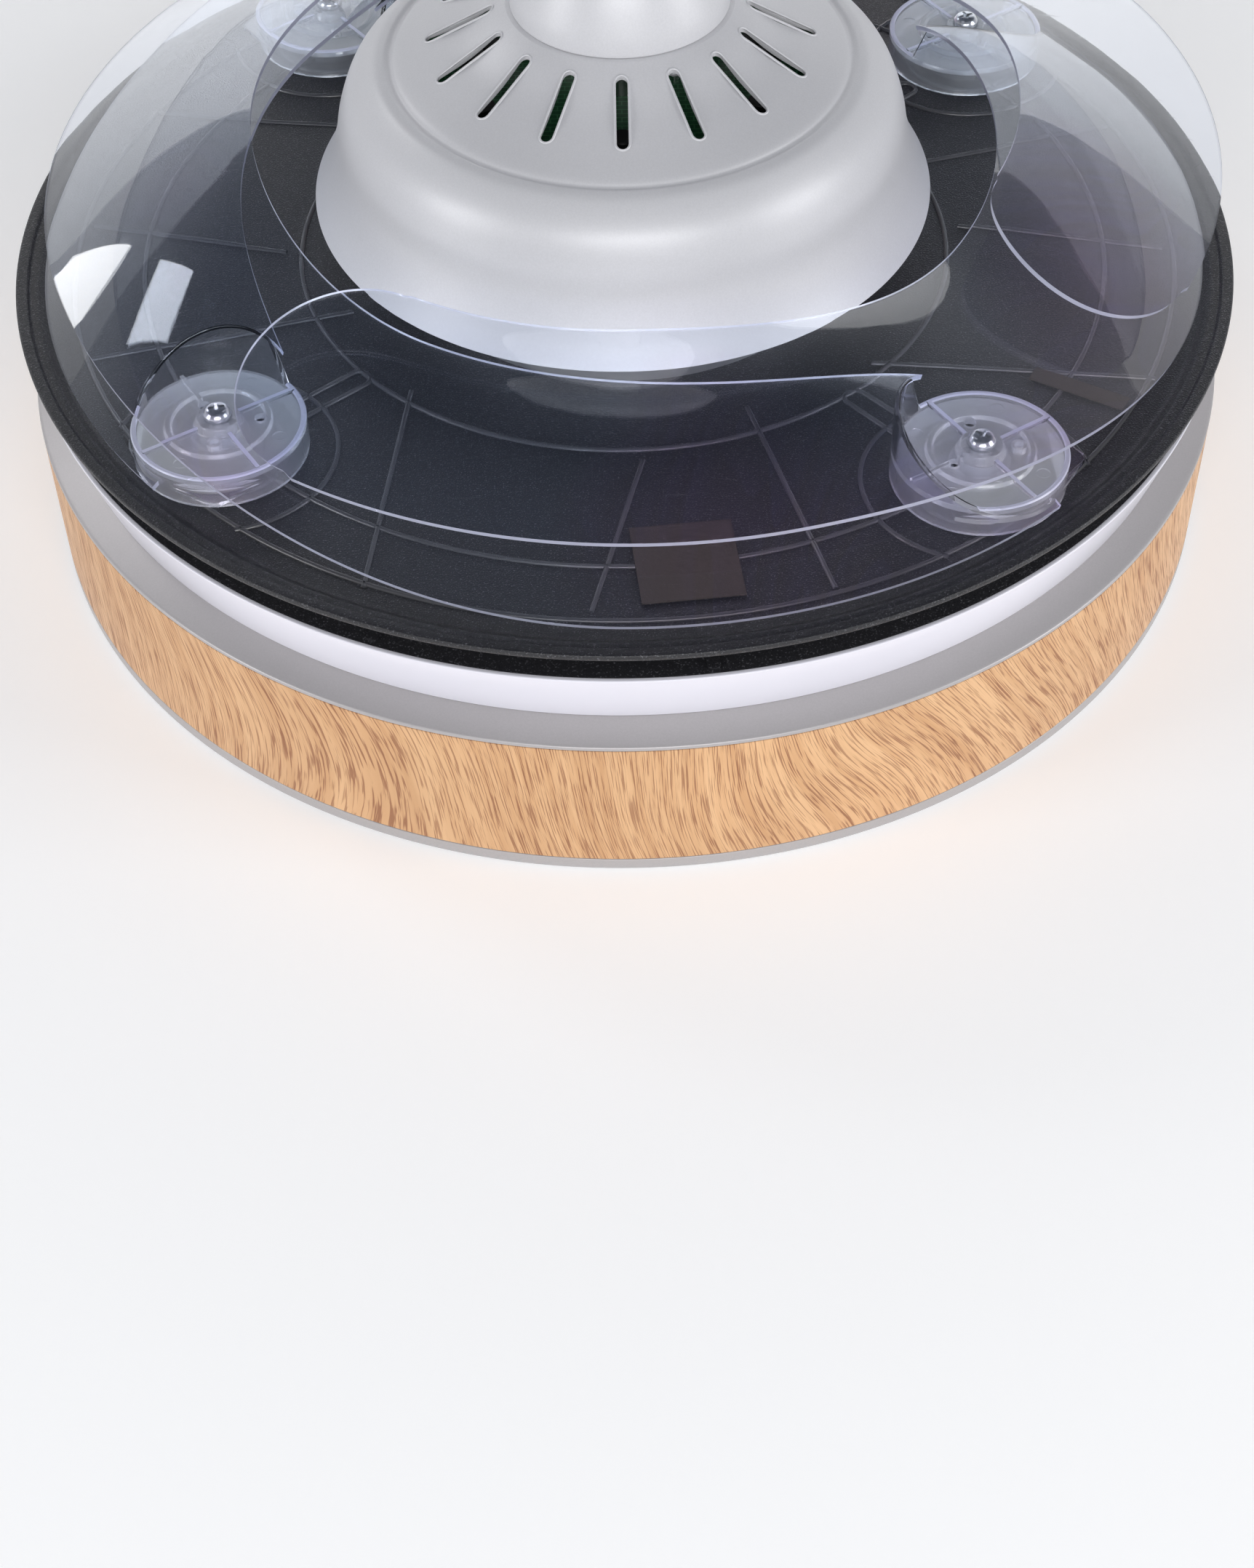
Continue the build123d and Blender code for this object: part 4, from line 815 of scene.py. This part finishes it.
class FAN_OT_tray(bpy.types.Operator):
    """Spinning tray with its rounded lip, moulded ribs and pivot bosses"""

    bl_idname = "fan.tray"
    bl_label = "Blade tray"

    def execute(self, context):
        sizes = context.scene.fan_sizes
        self.floor = TRAY_LOW.z + 3.0 * MM
        self.dish(sizes)
        self.ribs(sizes)
        self.bosses()
        return {"FINISHED"}

    def dish(self, sizes):
        """One turned dish: floor, wall, stepped ledge and rolled lip."""
        low, high = TRAY_LOW.z, TRAY_HIGH.z
        lip = sizes.lip_fillet
        profile = filleted([
            (30.0 * MM, low, 0.5 * MM),
            (239.5 * MM, low, 2.0 * MM),
            (245.5 * MM, low + 3.2 * MM, 2.5 * MM),
            (TRAY_RADIUS, high - 2.4 * MM, 1.0 * MM),
            (TRAY_RADIUS, high, lip),
            (TRAY_RADIUS - 4.4 * MM, high, lip),
            (TRAY_RADIUS - 5.6 * MM, high - 1.9 * MM, 0.6 * MM),
            (241.0 * MM, high - 1.8 * MM, 2.4 * MM),
            (236.5 * MM, self.floor, 3.5 * MM),
            (150.0 * MM, self.floor, 0.0),
            (30.0 * MM, self.floor, 0.8 * MM),
        ])
        dish = new_piece("tray_dish", *lathe(profile), FINISHES["tray_black"])
        settle(dish, "rotor", "tray_black", "blade_tray")

    def ribs(self, sizes):
        """Raised ribs: full circles, slanted spokes, arcs round each pivot and boss outlines, in a lighter black
        that is a painted highlight.
        """
        radius = sizes.bead_radius
        sunk = self.floor - radius * 0.15
        rings, runs = [], []
        for circle in RIB_CIRCLES:
            rings.append([self.spot(circle, 360.0 * step / 180, sunk) for step in range(180)])
        for swing in SWINGS.values():
            hub = math.degrees(math.atan2(swing["pos_m"][1], swing["pos_m"][0]))
            for spoke in RIB_SPOKES:
                runs.append([self.spot(across, hub + turn, sunk) for across, turn in spoke])
            pivot = Vector(swing["pos_m"][:2])
            for reach in RIB_ARCS:
                arc = []
                for step in range(41):
                    turn = math.radians(hub + 60.0 + 240.0 * step / 40)
                    place = pivot + reach * MM * Vector((math.cos(turn), math.sin(turn)))
                    arc.append((place.x, place.y, sunk))
                runs.append(arc)
            outline = slot_outline(BOSS_LENGTH * MM, BOSS_WIDTH * MM)
            turn = Matrix.Rotation(math.radians(hub), 2)
            middle = turn @ Vector((BOSS_PLACE * MM, 0.0))
            rings.append([(*(middle + turn @ Vector(p)), sunk) for p in outline])
        # The ribs' lighter black is a painted highlight.
        circles = bead("tray_rings", rings, radius, FINISHES["rib_black_painted_highlight"], closed=True)
        settle(circles, "rotor", "tray_black")
        spokes = bead("tray_spokes", runs, radius, FINISHES["rib_black_painted_highlight"])
        settle(spokes, "rotor", "tray_black")

    def spot(self, across, degrees, height):
        """A point on the tray by radius in millimetres and azimuth in degrees."""
        angle = math.radians(degrees)
        return (across * MM * math.cos(angle), across * MM * math.sin(angle), height)

    def bosses(self):
        """Rounded seats under the four pivots."""
        low, high = self.floor - 0.3 * MM, self.floor + 2.4 * MM
        shapes = []
        for swing in SWINGS.values():
            profile = filleted([
                (3.2 * MM, low, 0.0),
                (16.5 * MM, low, 0.0),
                (15.0 * MM, high - 1.0 * MM, 0.6 * MM),
                (15.0 * MM, high, 0.7 * MM),
                (3.2 * MM, high, 0.2 * MM),
            ])
            shift = Matrix.Translation((swing["pos_m"][0], swing["pos_m"][1], 0.0))
            shapes.append(moved(lathe(profile, SMALL_TURNS), shift))
        seats = new_piece("pivot_seats", *gathered(shapes), FINISHES["tray_black"])
        settle(seats, "rotor", "tray_black")


# ================================================================ blades
def leaf_edges(sweep):
    """Radius and height of the leaf's inner and outer edges at an angle past the hub, in metres."""
    inner_z = HUB_DISC_TOP + 34.0 * MM + 20.0 * MM * smooth_step((sweep - 70.0) / 60.0)
    inner_z -= 18.0 * MM * math.exp(-sweep / 13.0)
    outer_z = TRAY_HIGH.z + 2.0 * MM + 34.0 * MM * smooth_step((sweep - 40.0) / 75.0)
    inner_r = 147.0 * MM + 23.0 * MM * ((115.0 - sweep) / 115.0) ** 4
    outer_r = 238.5 * MM - 12.0 * MM * (max(sweep, 0.0) / LEAF_SWEEP) ** 1.6
    return inner_r, inner_z, outer_r, outer_z


def leaf_height(across, sweep):
    """Height of the leaf's upper face at a radius and sweep."""
    inner_r, inner_z, outer_r, outer_z = leaf_edges(sweep)
    share = min(max((across - inner_r) / (outer_r - inner_r), 0.0), 1.0)
    return inner_z - (inner_z - outer_z) * share**LEAF_CURVE


def leaf_point(across, sweep):
    """A point on the leaf's upper face."""
    angle = math.radians(-sweep)
    return Vector((across * math.cos(angle), across * math.sin(angle), leaf_height(across, sweep)))


def leaf_normal(across, sweep):
    """Upward normal of the leaf at a radius and sweep."""
    step = 0.5 * MM
    turn = math.degrees(step / across)
    outwards = leaf_point(across + step, sweep) - leaf_point(across - step, sweep)
    along = leaf_point(across, sweep - turn) - leaf_point(across, sweep + turn)
    normal = outwards.cross(along).normalized()
    return normal if normal.z > 0 else -normal


def leaf_stations():
    """Sweep, inner and outer radius of each station, closing in a half circle at the tip."""
    tip_inner, _, tip_outer, _ = leaf_edges(LEAF_SWEEP)
    tip_radius = (tip_outer - tip_inner) / 2
    tip_pitch = (tip_outer + tip_inner) / 2
    tip_sweep = LEAF_SWEEP - math.degrees(tip_radius / tip_pitch)
    stations = []
    for step in range(LEAF_STATIONS):
        sweep = LEAF_ROOT + (tip_sweep - LEAF_ROOT) * step / LEAF_STATIONS
        inner_r, _, outer_r, _ = leaf_edges(sweep)
        stations.append((sweep, inner_r, outer_r))
    rounds = 36
    for step in range(rounds):
        turn = math.pi / 2 * step / rounds
        sweep = tip_sweep + math.degrees(tip_radius * math.sin(turn) / tip_pitch)
        half = tip_radius * math.cos(turn)
        stations.append((sweep, tip_pitch - half, tip_pitch + half))
    return stations


def leaf_shape():
    """Closed shell of the leaf with rounded rims, and the indexes of its rim faces."""
    stations = leaf_stations()
    across_count = LEAF_ACROSS + 1
    verts, faces, rims = [], [], []
    for sweep, inner_r, outer_r in stations:
        for step in range(across_count):
            across = inner_r + (outer_r - inner_r) * step / LEAF_ACROSS
            verts.append(leaf_point(across, sweep))
    under = len(verts)
    for sweep, inner_r, outer_r in stations:
        for step in range(across_count):
            across = inner_r + (outer_r - inner_r) * step / LEAF_ACROSS
            verts.append(leaf_point(across, sweep) - leaf_normal(across, sweep) * LEAF_THICKNESS)
    for row in range(len(stations) - 1):
        for step in range(LEAF_ACROSS):
            a = row * across_count + step
            b = a + across_count
            faces.append((a, b, b + 1, a + 1))
            faces.append((under + a, under + a + 1, under + b + 1, under + b))
    rim = [row * across_count for row in range(len(stations))]
    rim += [(len(stations) - 1) * across_count + step for step in range(1, across_count)]
    rim += [row * across_count + LEAF_ACROSS for row in range(len(stations) - 2, -1, -1)]
    rim += [step for step in range(LEAF_ACROSS - 1, 0, -1)]
    for index, a in enumerate(rim):
        b = rim[(index + 1) % len(rim)]
        rims.append(len(faces))
        faces.append((a, under + a, under + b, b))
    return verts, faces, rims


def hub_wall_shape():
    """The hub's cup wall, climbing to the leaf on the side that carries it."""
    turns = HUB_TURNS
    base = HUB_DISC_TOP + HUB_LIP
    heights = []
    for step in range(turns):
        angle = FULL_TURN * step / turns
        spot = Vector((PIVOT_PITCH + HUB_RADIUS * math.cos(angle), HUB_RADIUS * math.sin(angle)))
        sweep = -math.degrees(math.atan2(spot.y, spot.x))
        top = base
        if sweep > LEAF_ROOT:
            inner_r, _, outer_r, _ = leaf_edges(sweep)
            if inner_r <= spot.length <= outer_r:
                climb = smooth_step((sweep - LEAF_ROOT) / 3.0)
                top = max(base, base + (leaf_height(spot.length, sweep) - 0.4 * MM - base) * climb)
        heights.append(top)
    smoothed = [sum(heights[(i + k) % turns] for k in range(-2, 3)) / 5 for i in range(turns)]
    verts, faces = [], []
    inner = HUB_RADIUS - HUB_WALL
    soft = 0.5 * MM
    for step in range(turns):
        angle = FULL_TURN * step / turns
        top = smoothed[step]
        profile = (
            (HUB_RADIUS, HUB_LOW),
            (HUB_RADIUS, top - soft),
            (HUB_RADIUS - soft, top),
            (inner + soft, top),
            (inner, top - soft),
            (inner, HUB_LOW),
        )
        for across, up in profile:
            verts.append((PIVOT_PITCH + across * math.cos(angle), across * math.sin(angle), up))
    rows = len(profile)
    for step in range(turns):
        ahead = (step + 1) % turns * rows
        for row in range(rows):
            after = (row + 1) % rows
            faces.append((step * rows + row, ahead + row, ahead + after, step * rows + after))
    return verts, faces


def hub_spot(distance, degrees):
    """A place on the hub by distance in millimetres and angle from outwards."""
    angle = math.radians(degrees)
    return PIVOT_PITCH + distance * MM * math.cos(angle), distance * MM * math.sin(angle)


def hub_disc_shape():
    """Hub disc with its raised ring, stepped boss and bore, as one turned profile."""
    top = HUB_DISC_TOP
    profile = filleted([
        (HUB_BORE, HUB_LOW, 0.2 * MM),
        (HUB_BOSS, HUB_LOW, 0.4 * MM),
        (HUB_BOSS, top - HUB_DISC_THICKNESS, 0.6 * MM),
        (HUB_RADIUS - HUB_WALL / 2, top - HUB_DISC_THICKNESS, 0.0),
        (HUB_RADIUS - HUB_WALL / 2, top, 0.0),
        (HUB_RING + 1.0 * MM, top, 0.4 * MM),
        (HUB_RING, top + HUB_RIB_HEIGHT, 0.4 * MM),
        (HUB_RING - HUB_RIB_WIDTH, top + HUB_RIB_HEIGHT, 0.4 * MM),
        (HUB_RING - HUB_RIB_WIDTH - 1.0 * MM, top, 0.4 * MM),
        (HUB_BOSS + 1.2 * MM, top, 0.6 * MM),
        (HUB_BOSS, top + HUB_BOSS_RISE, 0.7 * MM),
        (HUB_BORE + 1.6 * MM, top + HUB_BOSS_RISE, 0.4 * MM),
        (HUB_BORE, top + HUB_BOSS_RISE - 0.6 * MM, 0.2 * MM),
    ])
    return moved(lathe(profile, 96), Matrix.Translation((PIVOT_PITCH, 0.0, 0.0)))


def hub_ribs_shape():
    """Four ribs from the boss to the wall."""
    shapes = []
    for quarter in range(4):
        start, end = HUB_BOSS - 1.0 * MM, HUB_RADIUS - HUB_WALL * 0.6
        half = HUB_RIB_WIDTH / 2
        outline = [(start, -half), (end, -half), (end, half), (start, half)]
        rib = prism(outline, HUB_DISC_TOP - 0.4 * MM, HUB_DISC_TOP + HUB_RIB_HEIGHT * 1.25)
        spin = Matrix.Rotation(HUB_RIB_ANGLE + quarter * math.pi / 2, 4, "Z")
        shapes.append(moved(rib, Matrix.Translation((PIVOT_PITCH, 0, 0)) @ spin))
    return shapes


def root_corner_shape(distance, degrees):
    """Pointed web from the hub's rim to a root corner."""
    spread = math.degrees(math.acos(HUB_RADIUS / (distance * MM)))
    inner = HUB_RADIUS / MM - 1.4
    outline = [hub_spot(inner, degrees - spread), hub_spot(HUB_RADIUS / MM, degrees - spread)]
    outline.append(hub_spot(distance, degrees - 2.0))
    outline.append(hub_spot(distance, degrees + 2.0))
    outline += [hub_spot(HUB_RADIUS / MM, degrees + spread), hub_spot(inner, degrees + spread)]
    low = TRAY_HIGH.z + 2.0 * MM
    return prism(outline, low, low + 2.0 * MM)


class FAN_OT_blades(bpy.types.Operator):
    """Four clear blades with ribbed hubs, laid over one another round the tray"""

    bl_idname = "fan.blades"
    bl_label = "Blades"

    def execute(self, context):
        pattern = self.pattern()
        for body, swing in SWINGS.items():
            node = body.removesuffix("_body")
            hub = math.atan2(swing["pos_m"][1], swing["pos_m"][0])
            loose = LOOSE_SWING if body == LOOSE_BODY else 0.0
            out = Matrix.Translation((PIVOT_PITCH, 0, 0))
            place = Matrix.Rotation(hub, 4, "Z") @ out @ Matrix.Rotation(loose, 4, "Z") @ out.inverted()
            mesh = pattern.data.copy()
            mesh.transform(place)
            blade = bpy.data.objects.new(f"leaf_{node.removeprefix('blade_')}", mesh)
            context.scene.collection.objects.link(blade)
            settle(blade, body, "blade_clear", node)
        bpy.data.objects.remove(pattern)
        return {"FINISHED"}

    def pattern(self):
        """One blade with its hub on +X, joined into a single closed body."""
        clear, edge = FINISHES["blade_clear"], FINISHES["blade_edge_painted_light"]
        verts, faces, rims = leaf_shape()
        # Rim faces take the edge finish, whose violet tint is painted light.
        leaf = new_piece("leaf_pattern", verts, faces, clear, edge, rims)
        reach = 40.0 * MM
        bore = HUB_RADIUS - HUB_WALL / 2
        hub_cut = plug(bore, HUB_LOW - reach, HUB_LOW + 2 * reach, HUB_TURNS, (PIVOT_PITCH, 0.0))
        combine(leaf, hub_cut, "DIFFERENCE")
        combine(leaf, hub_wall_shape(), "UNION")
        for distance, degrees in ROOT_CORNERS:
            combine(leaf, root_corner_shape(distance, degrees), "UNION")
        combine(leaf, hub_disc_shape(), "UNION")
        for rib in hub_ribs_shape():
            combine(leaf, rib, "UNION")
        top = HUB_DISC_TOP
        for place in HUB_EJECTORS:
            mark = plug(2.6 * MM, top - 0.35 * MM, top + 1.0 * MM, 32, hub_spot(*place))
            combine(leaf, mark, "DIFFERENCE")
        pin = hub_spot(*HUB_PIN)
        combine(leaf, plug(2.9 * MM, top - 0.5 * MM, top + 2.6 * MM, 32, pin), "UNION")
        combine(leaf, plug(1.7 * MM, top - 3.5 * MM, top + 4.0 * MM, 24, pin), "DIFFERENCE")
        for place in HUB_HOLES:
            hole = plug(2.3 * MM, top - 4.0 * MM, top + 4.0 * MM, 32, hub_spot(*place))
            combine(leaf, hole, "DIFFERENCE")
        self.shade_hub(leaf.data)
        round_off(leaf.data, math.radians(32))
        return leaf

    def shade_hub(self, mesh):
        """Milky plastic inside the cup, and the edges' painted-light violet along the low part of the wall's rim.
        """
        mesh.materials.append(FINISHES["hub_clear"])
        middle = Vector((PIVOT_PITCH, 0.0))
        spots = [vertex.co for vertex in mesh.vertices]
        for face in mesh.polygons:
            reaches = [(spots[index].xy - middle).length for index in face.vertices]
            top = max(spots[index].z for index in face.vertices)
            cup = max(reaches) < HUB_RADIUS - HUB_WALL * 0.9 and top < HUB_DISC_TOP + 5.0 * MM
            on_rim = HUB_DISC_TOP + 0.2 * MM < top < HUB_DISC_TOP + 3.0 * MM
            if cup:
                face.material_index = 2
            elif on_rim and max(reaches) < HUB_RADIUS + 0.1 * MM and face.normal.z > 0.5:
                face.material_index = 1


# ================================================================ pivot screws
class FAN_OT_screws(bpy.types.Operator):
    """Cross-recessed pan screws that hold the hubs on their posts"""

    bl_idname = "fan.screws"
    bl_label = "Pivot screws"

    def execute(self, context):
        top = SCREW_HIGH.z
        head_low = top - 4.1 * MM
        head = 5.5 * MM
        profile = filleted([
            (0.15 * MM, SCREW_LOW.z, 0.0),
            (3.0 * MM, SCREW_LOW.z, 0.3 * MM),
            (3.0 * MM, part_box("return_springs")[0].z, 0.0),
            (4.0 * MM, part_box("return_springs")[0].z, 0.2 * MM),
            (4.0 * MM, head_low, 0.0),
            (head, head_low, 0.4 * MM),
            (head, head_low + 1.8 * MM, 1.2 * MM),
            (head * 0.7, top - 0.2 * MM, 2.2 * MM),
            (0.15 * MM, top, 0.0),
        ])
        screw = new_piece("screw_pattern", *lathe(profile, SMALL_TURNS), FINISHES["screw_zinc"])
        long, thin = 3.1 * MM, 0.6 * MM
        outline = [(-long, -thin), (long, -thin), (long, thin), (-long, thin)]
        for turn in (0.0, math.pi / 2):
            bar = moved(prism(outline, top - 2.0 * MM, top + 1.0 * MM), Matrix.Rotation(turn + 0.4, 4, "Z"))
            combine(screw, bar, "DIFFERENCE")
        combine(screw, plug(1.7 * MM, top - 2.6 * MM, top + 1.0 * MM, 24, taper=0.45), "DIFFERENCE")
        round_off(screw.data, math.radians(32))
        shape = ([v.co.copy() for v in screw.data.vertices], [tuple(p.vertices) for p in screw.data.polygons])
        bpy.data.objects.remove(screw)
        shapes = []
        for index, swing in enumerate(SWINGS.values()):
            shift = Matrix.Translation((swing["pos_m"][0], swing["pos_m"][1], 0.0))
            shapes.append(moved(shape, shift @ Matrix.Rotation(index * 0.7, 4, "Z")))
        screws = new_piece("pan_screws", *gathered(shapes), FINISHES["screw_zinc"])
        round_off(screws.data, math.radians(32))
        settle(screws, "rotor", "screw_zinc", "pivot_screws")
        return {"FINISHED"}


# ================================================================ housing and hanger
BELL_OUTLINE = (
    (125.0, 141.0), (119.5, 151.0), (114.8, 164.0), (112.0, 177.0), (107.0, 189.0), (98.5, 197.6),
    (93.5, 199.6), (90.5, 199.2), (87.5, 201.2), (76.0, 205.8), (62.0, 211.8), (50.0, 219.2), (44.0, 222.5),
)
VENTS = 16
VENT_MIDDLE = 62.5
VENT_LENGTH = 27.0
VENT_WIDTH = 5.0


def bell_height(across):
    """Height of the housing's shoulder at a radius, in millimetres."""
    for (outer, low), (inner, high) in zip(BELL_OUTLINE, BELL_OUTLINE[1:]):
        if inner <= across <= outer:
            return low + (high - low) * (outer - across) / (outer - inner)
    return BELL_OUTLINE[-1][1]


class FAN_OT_housing(bpy.types.Operator):
    """Spun silver housing with its pressed groove and vents, and the dome over the coupling"""

    bl_idname = "fan.housing"
    bl_label = "Motor housing"

    def execute(self, context):
        self.bell()
        self.vent_edges(context.scene.fan_sizes.vent_bead)
        self.dome()
        return {"FINISHED"}

    def bell(self):
        """Thin turned bell with slots cut through its shoulder."""
        run = curved_profile([(x * MM, z * MM) for x, z in BELL_OUTLINE], 8)
        run.append(Vector((8.6 * MM, HOUSING_HIGH.z)))
        profile = thickened(run, 1.5 * MM)
        bell = new_piece("housing_bell", *lathe(profile), FINISHES["housing_silver"])
        low = (bell_height(VENT_MIDDLE + VENT_LENGTH / 2) - 8.0) * MM
        high = (bell_height(VENT_MIDDLE - VENT_LENGTH / 2) + 8.0) * MM
        slot = prism(slot_outline(VENT_LENGTH * MM, VENT_WIDTH * MM), low, high)
        out = Matrix.Translation((VENT_MIDDLE * MM, 0, 0))
        cutters = []
        for vent in range(VENTS):
            cutters.append(moved(slot, Matrix.Rotation(FULL_TURN * vent / VENTS, 4, "Z") @ out))
        combine(bell, gathered(cutters), "DIFFERENCE")
        round_off(bell.data, math.radians(30))
        settle(bell, "frame", "housing_silver", "motor_housing")

    def vent_edges(self, radius):
        """Pressed bright edge round each vent."""
        loops = []
        for vent in range(VENTS):
            turn = Matrix.Rotation(FULL_TURN * vent / VENTS, 4, "Z")
            loop = []
            for x, y in slot_outline(VENT_LENGTH + 0.4, VENT_WIDTH + 0.4):
                across = math.hypot(x + VENT_MIDDLE, y)
                loop.append(turn @ Vector(((x + VENT_MIDDLE) * MM, y * MM, (bell_height(across) - 0.1) * MM)))
            loops.append(loop)
        edges = bead("vent_edges", loops, radius, FINISHES["housing_silver"], closed=True)
        settle(edges, "frame", "housing_silver")

    def dome(self):
        """Domed cover over the coupling, with a rolled foot."""
        low = COVER_LOW.z
        wide = COVER_HIGH.x
        points = [
            (wide - 0.6 * MM, low), (wide, low + 1.2 * MM), (wide - 1.2 * MM, low + 9.0 * MM),
            (wide - 7.5 * MM, low + 24.0 * MM), (wide - 19.0 * MM, low + 39.0 * MM), (14.5 * MM, COVER_HIGH.z),
        ]
        profile = thickened(curved_profile(points, 10), 1.5 * MM)
        dome = new_piece("coupling_dome", *lathe(profile), FINISHES["housing_silver"])
        settle(dome, "frame", "housing_silver", "yoke_cover")


class FAN_OT_hanger(bpy.types.Operator):
    """Ceiling bowl with a rolled rim"""

    bl_idname = "fan.hanger"
    bl_label = "Ceiling bowl"

    def execute(self, context):
        low, high = CANOPY_LOW.z, CANOPY_HIGH.z
        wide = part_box("canopy_screws")[1].x - 2.0 * MM
        neck = 14.5 * MM
        wall = 1.4 * MM
        round_by = 26.0 * MM
        steps = 14
        run = [Vector((wide, height)) for height in (high, high - 3.0 * MM, low + round_by + 4.0 * MM)]
        for step in range(steps + 1):
            turn = math.pi / 2 * step / steps
            across = wide - round_by + round_by * math.cos(turn)
            run.append(Vector((across, low + round_by - round_by * math.sin(turn))))
        run += [Vector((neck + 4.0 * MM, low)), Vector((neck, low))]
        run.reverse()
        bowl = new_piece("ceiling_bowl", *lathe(thickened(run, wall)), FINISHES["housing_silver"])
        settle(bowl, "frame", "housing_silver", "canopy")
        return {"FINISHED"}


# ================================================================ stage
CAMERA_PLACE = Vector((-0.0026, -0.8723, 0.7472))
CAMERA_TILT = math.radians(90 - 48.28)
CAMERA_ROLL = math.radians(-1.01)
CAMERA_LENS = 58.1


def soft_light(name, place, aim, size, power, colour=(1.0, 1.0, 1.0)):
    """A rectangular soft light pointed at a spot."""
    light = bpy.data.lights.new(name, "AREA")
    light.shape = "RECTANGLE"
    light.size, light.size_y = size
    light.energy = power
    light.color = colour
    holder = bpy.data.objects.new(name, light)
    holder.location = place
    holder.rotation_euler = (Vector(aim) - Vector(place)).to_track_quat("-Z", "Y").to_euler()
    bpy.context.scene.collection.objects.link(holder)
    return holder


class FAN_OT_stage(bpy.types.Operator):
    """Pale floor, soft studio lights and the camera"""

    bl_idname = "fan.stage"
    bl_label = "Stage"

    def execute(self, context):
        scene = context.scene
        self.floor()
        self.lights()
        scene.world = self.surroundings()
        scene.view_settings.view_transform = "Standard"
        camera = bpy.data.cameras.new("Camera")
        camera.lens = CAMERA_LENS
        holder = bpy.data.objects.new("Camera", camera)
        roll = Matrix.Rotation(CAMERA_ROLL, 4, "Z")
        holder.matrix_world = Matrix.Translation(CAMERA_PLACE) @ Matrix.Rotation(CAMERA_TILT, 4, "X") @ roll
        scene.collection.objects.link(holder)
        scene.camera = holder
        return {"FINISHED"}

    def surroundings(self):
        """Pale at the horizon and darker overhead, as in a studio with its ceiling unlit."""
        world = bpy.data.worlds.new("Studio")
        world.use_nodes = True
        tree = world.node_tree
        sky = add_node(tree, "ShaderNodeTexCoord").outputs["Generated"]
        way = add_node(tree, "ShaderNodeSeparateXYZ", Vector=sky)
        eased = {"interpolation_type": "SMOOTHSTEP"}
        rise = add_node(tree, "ShaderNodeMapRange", eased, n0=way.outputs["Z"], n1=0.15, n2=0.85)
        shade = blend(tree, rise.outputs[0], (0.92, 0.94, 1.0, 1.0), (0.1, 0.115, 0.15, 1.0))
        tree.links.new(shade, tree.nodes["Background"].inputs["Color"])
        tree.nodes["Background"].inputs["Strength"].default_value = 0.6
        return world

    def floor(self):
        """A wide pale sweep that curves up behind."""
        half, rise, bend = 3.0, 2.2, 0.8
        front, wide = 9.0, 8.0
        run = [(-front, 0.0), (half - bend, 0.0)]
        for step in range(1, 13):
            turn = math.pi / 2 * step / 12
            run.append((half - bend + bend * math.sin(turn), bend - bend * math.cos(turn)))
        run.append((half, rise))
        verts = [(side * wide, y, z) for y, z in run for side in (-1, 1)]
        faces = [(2 * i, 2 * i + 1, 2 * i + 3, 2 * i + 2) for i in range(len(run) - 1)]
        paper = finish_material(
            "floor_white", (0.9, 0.9, 0.9), 0.7, spread=0.02, patches=0.01, flecks=0.0, Emission_Strength=0.22
        )
        floor = new_piece("floor", verts, faces, paper)

    def lights(self):
        """Soft lights in front and at both sides, a window high on the left, and one on the sweep behind."""
        centre = (0.0, 0.0, 0.12)
        soft_light("front_high", (0.15, -2.3, 1.35), centre, (1.9, 0.8), 30.0)
        soft_light("right_side", (2.0, -0.7, 0.9), centre, (0.9, 1.2), 16.0)
        soft_light("left_side", (-2.0, -0.9, 0.8), centre, (0.7, 1.1), 13.0)
        soft_light("left_window", (-1.62, 1.12, 1.48), centre, (0.5, 0.48), 4.3)
        soft_light("sweep_glow", (0.0, 1.1, 1.9), (0.0, 3.0, 1.45), (2.2, 0.7), 30.0)


# ================================================================ panel and start
OPERATORS = (
    FAN_OT_finishes, FAN_OT_stage, FAN_OT_drum, FAN_OT_tray,
    FAN_OT_blades, FAN_OT_screws, FAN_OT_housing, FAN_OT_hanger,
)


class FAN_PT_panel(bpy.types.Panel):
    """Lists the build steps and what can be changed"""

    bl_idname = "FAN_PT_panel"
    bl_label = "Fold-away Blade Fan"
    bl_space_type = "VIEW_3D"
    bl_region_type = "UI"
    bl_category = "Fan"

    def draw(self, context):
        for group in (context.scene.fan_look, context.scene.fan_sizes):
            for key in group.__annotations__:
                self.layout.prop(group, key)
        for operator in OPERATORS:
            self.layout.operator(operator.bl_idname)


CLASSES = (FanLook, FanSizes, *OPERATORS, FAN_PT_panel)


def register():
    for cls in CLASSES:
        bpy.utils.register_class(cls)
    bpy.types.Scene.fan_look = bpy.props.PointerProperty(type=FanLook)
    bpy.types.Scene.fan_sizes = bpy.props.PointerProperty(type=FanSizes)


def unregister():
    del bpy.types.Scene.fan_sizes
    del bpy.types.Scene.fan_look
    for cls in reversed(CLASSES):
        bpy.utils.unregister_class(cls)


def main():
    register()
    for operator in OPERATORS:
        group, name = operator.bl_idname.split(".")
        getattr(getattr(bpy.ops, group), name)()


if __name__ == "__main__":
    main()
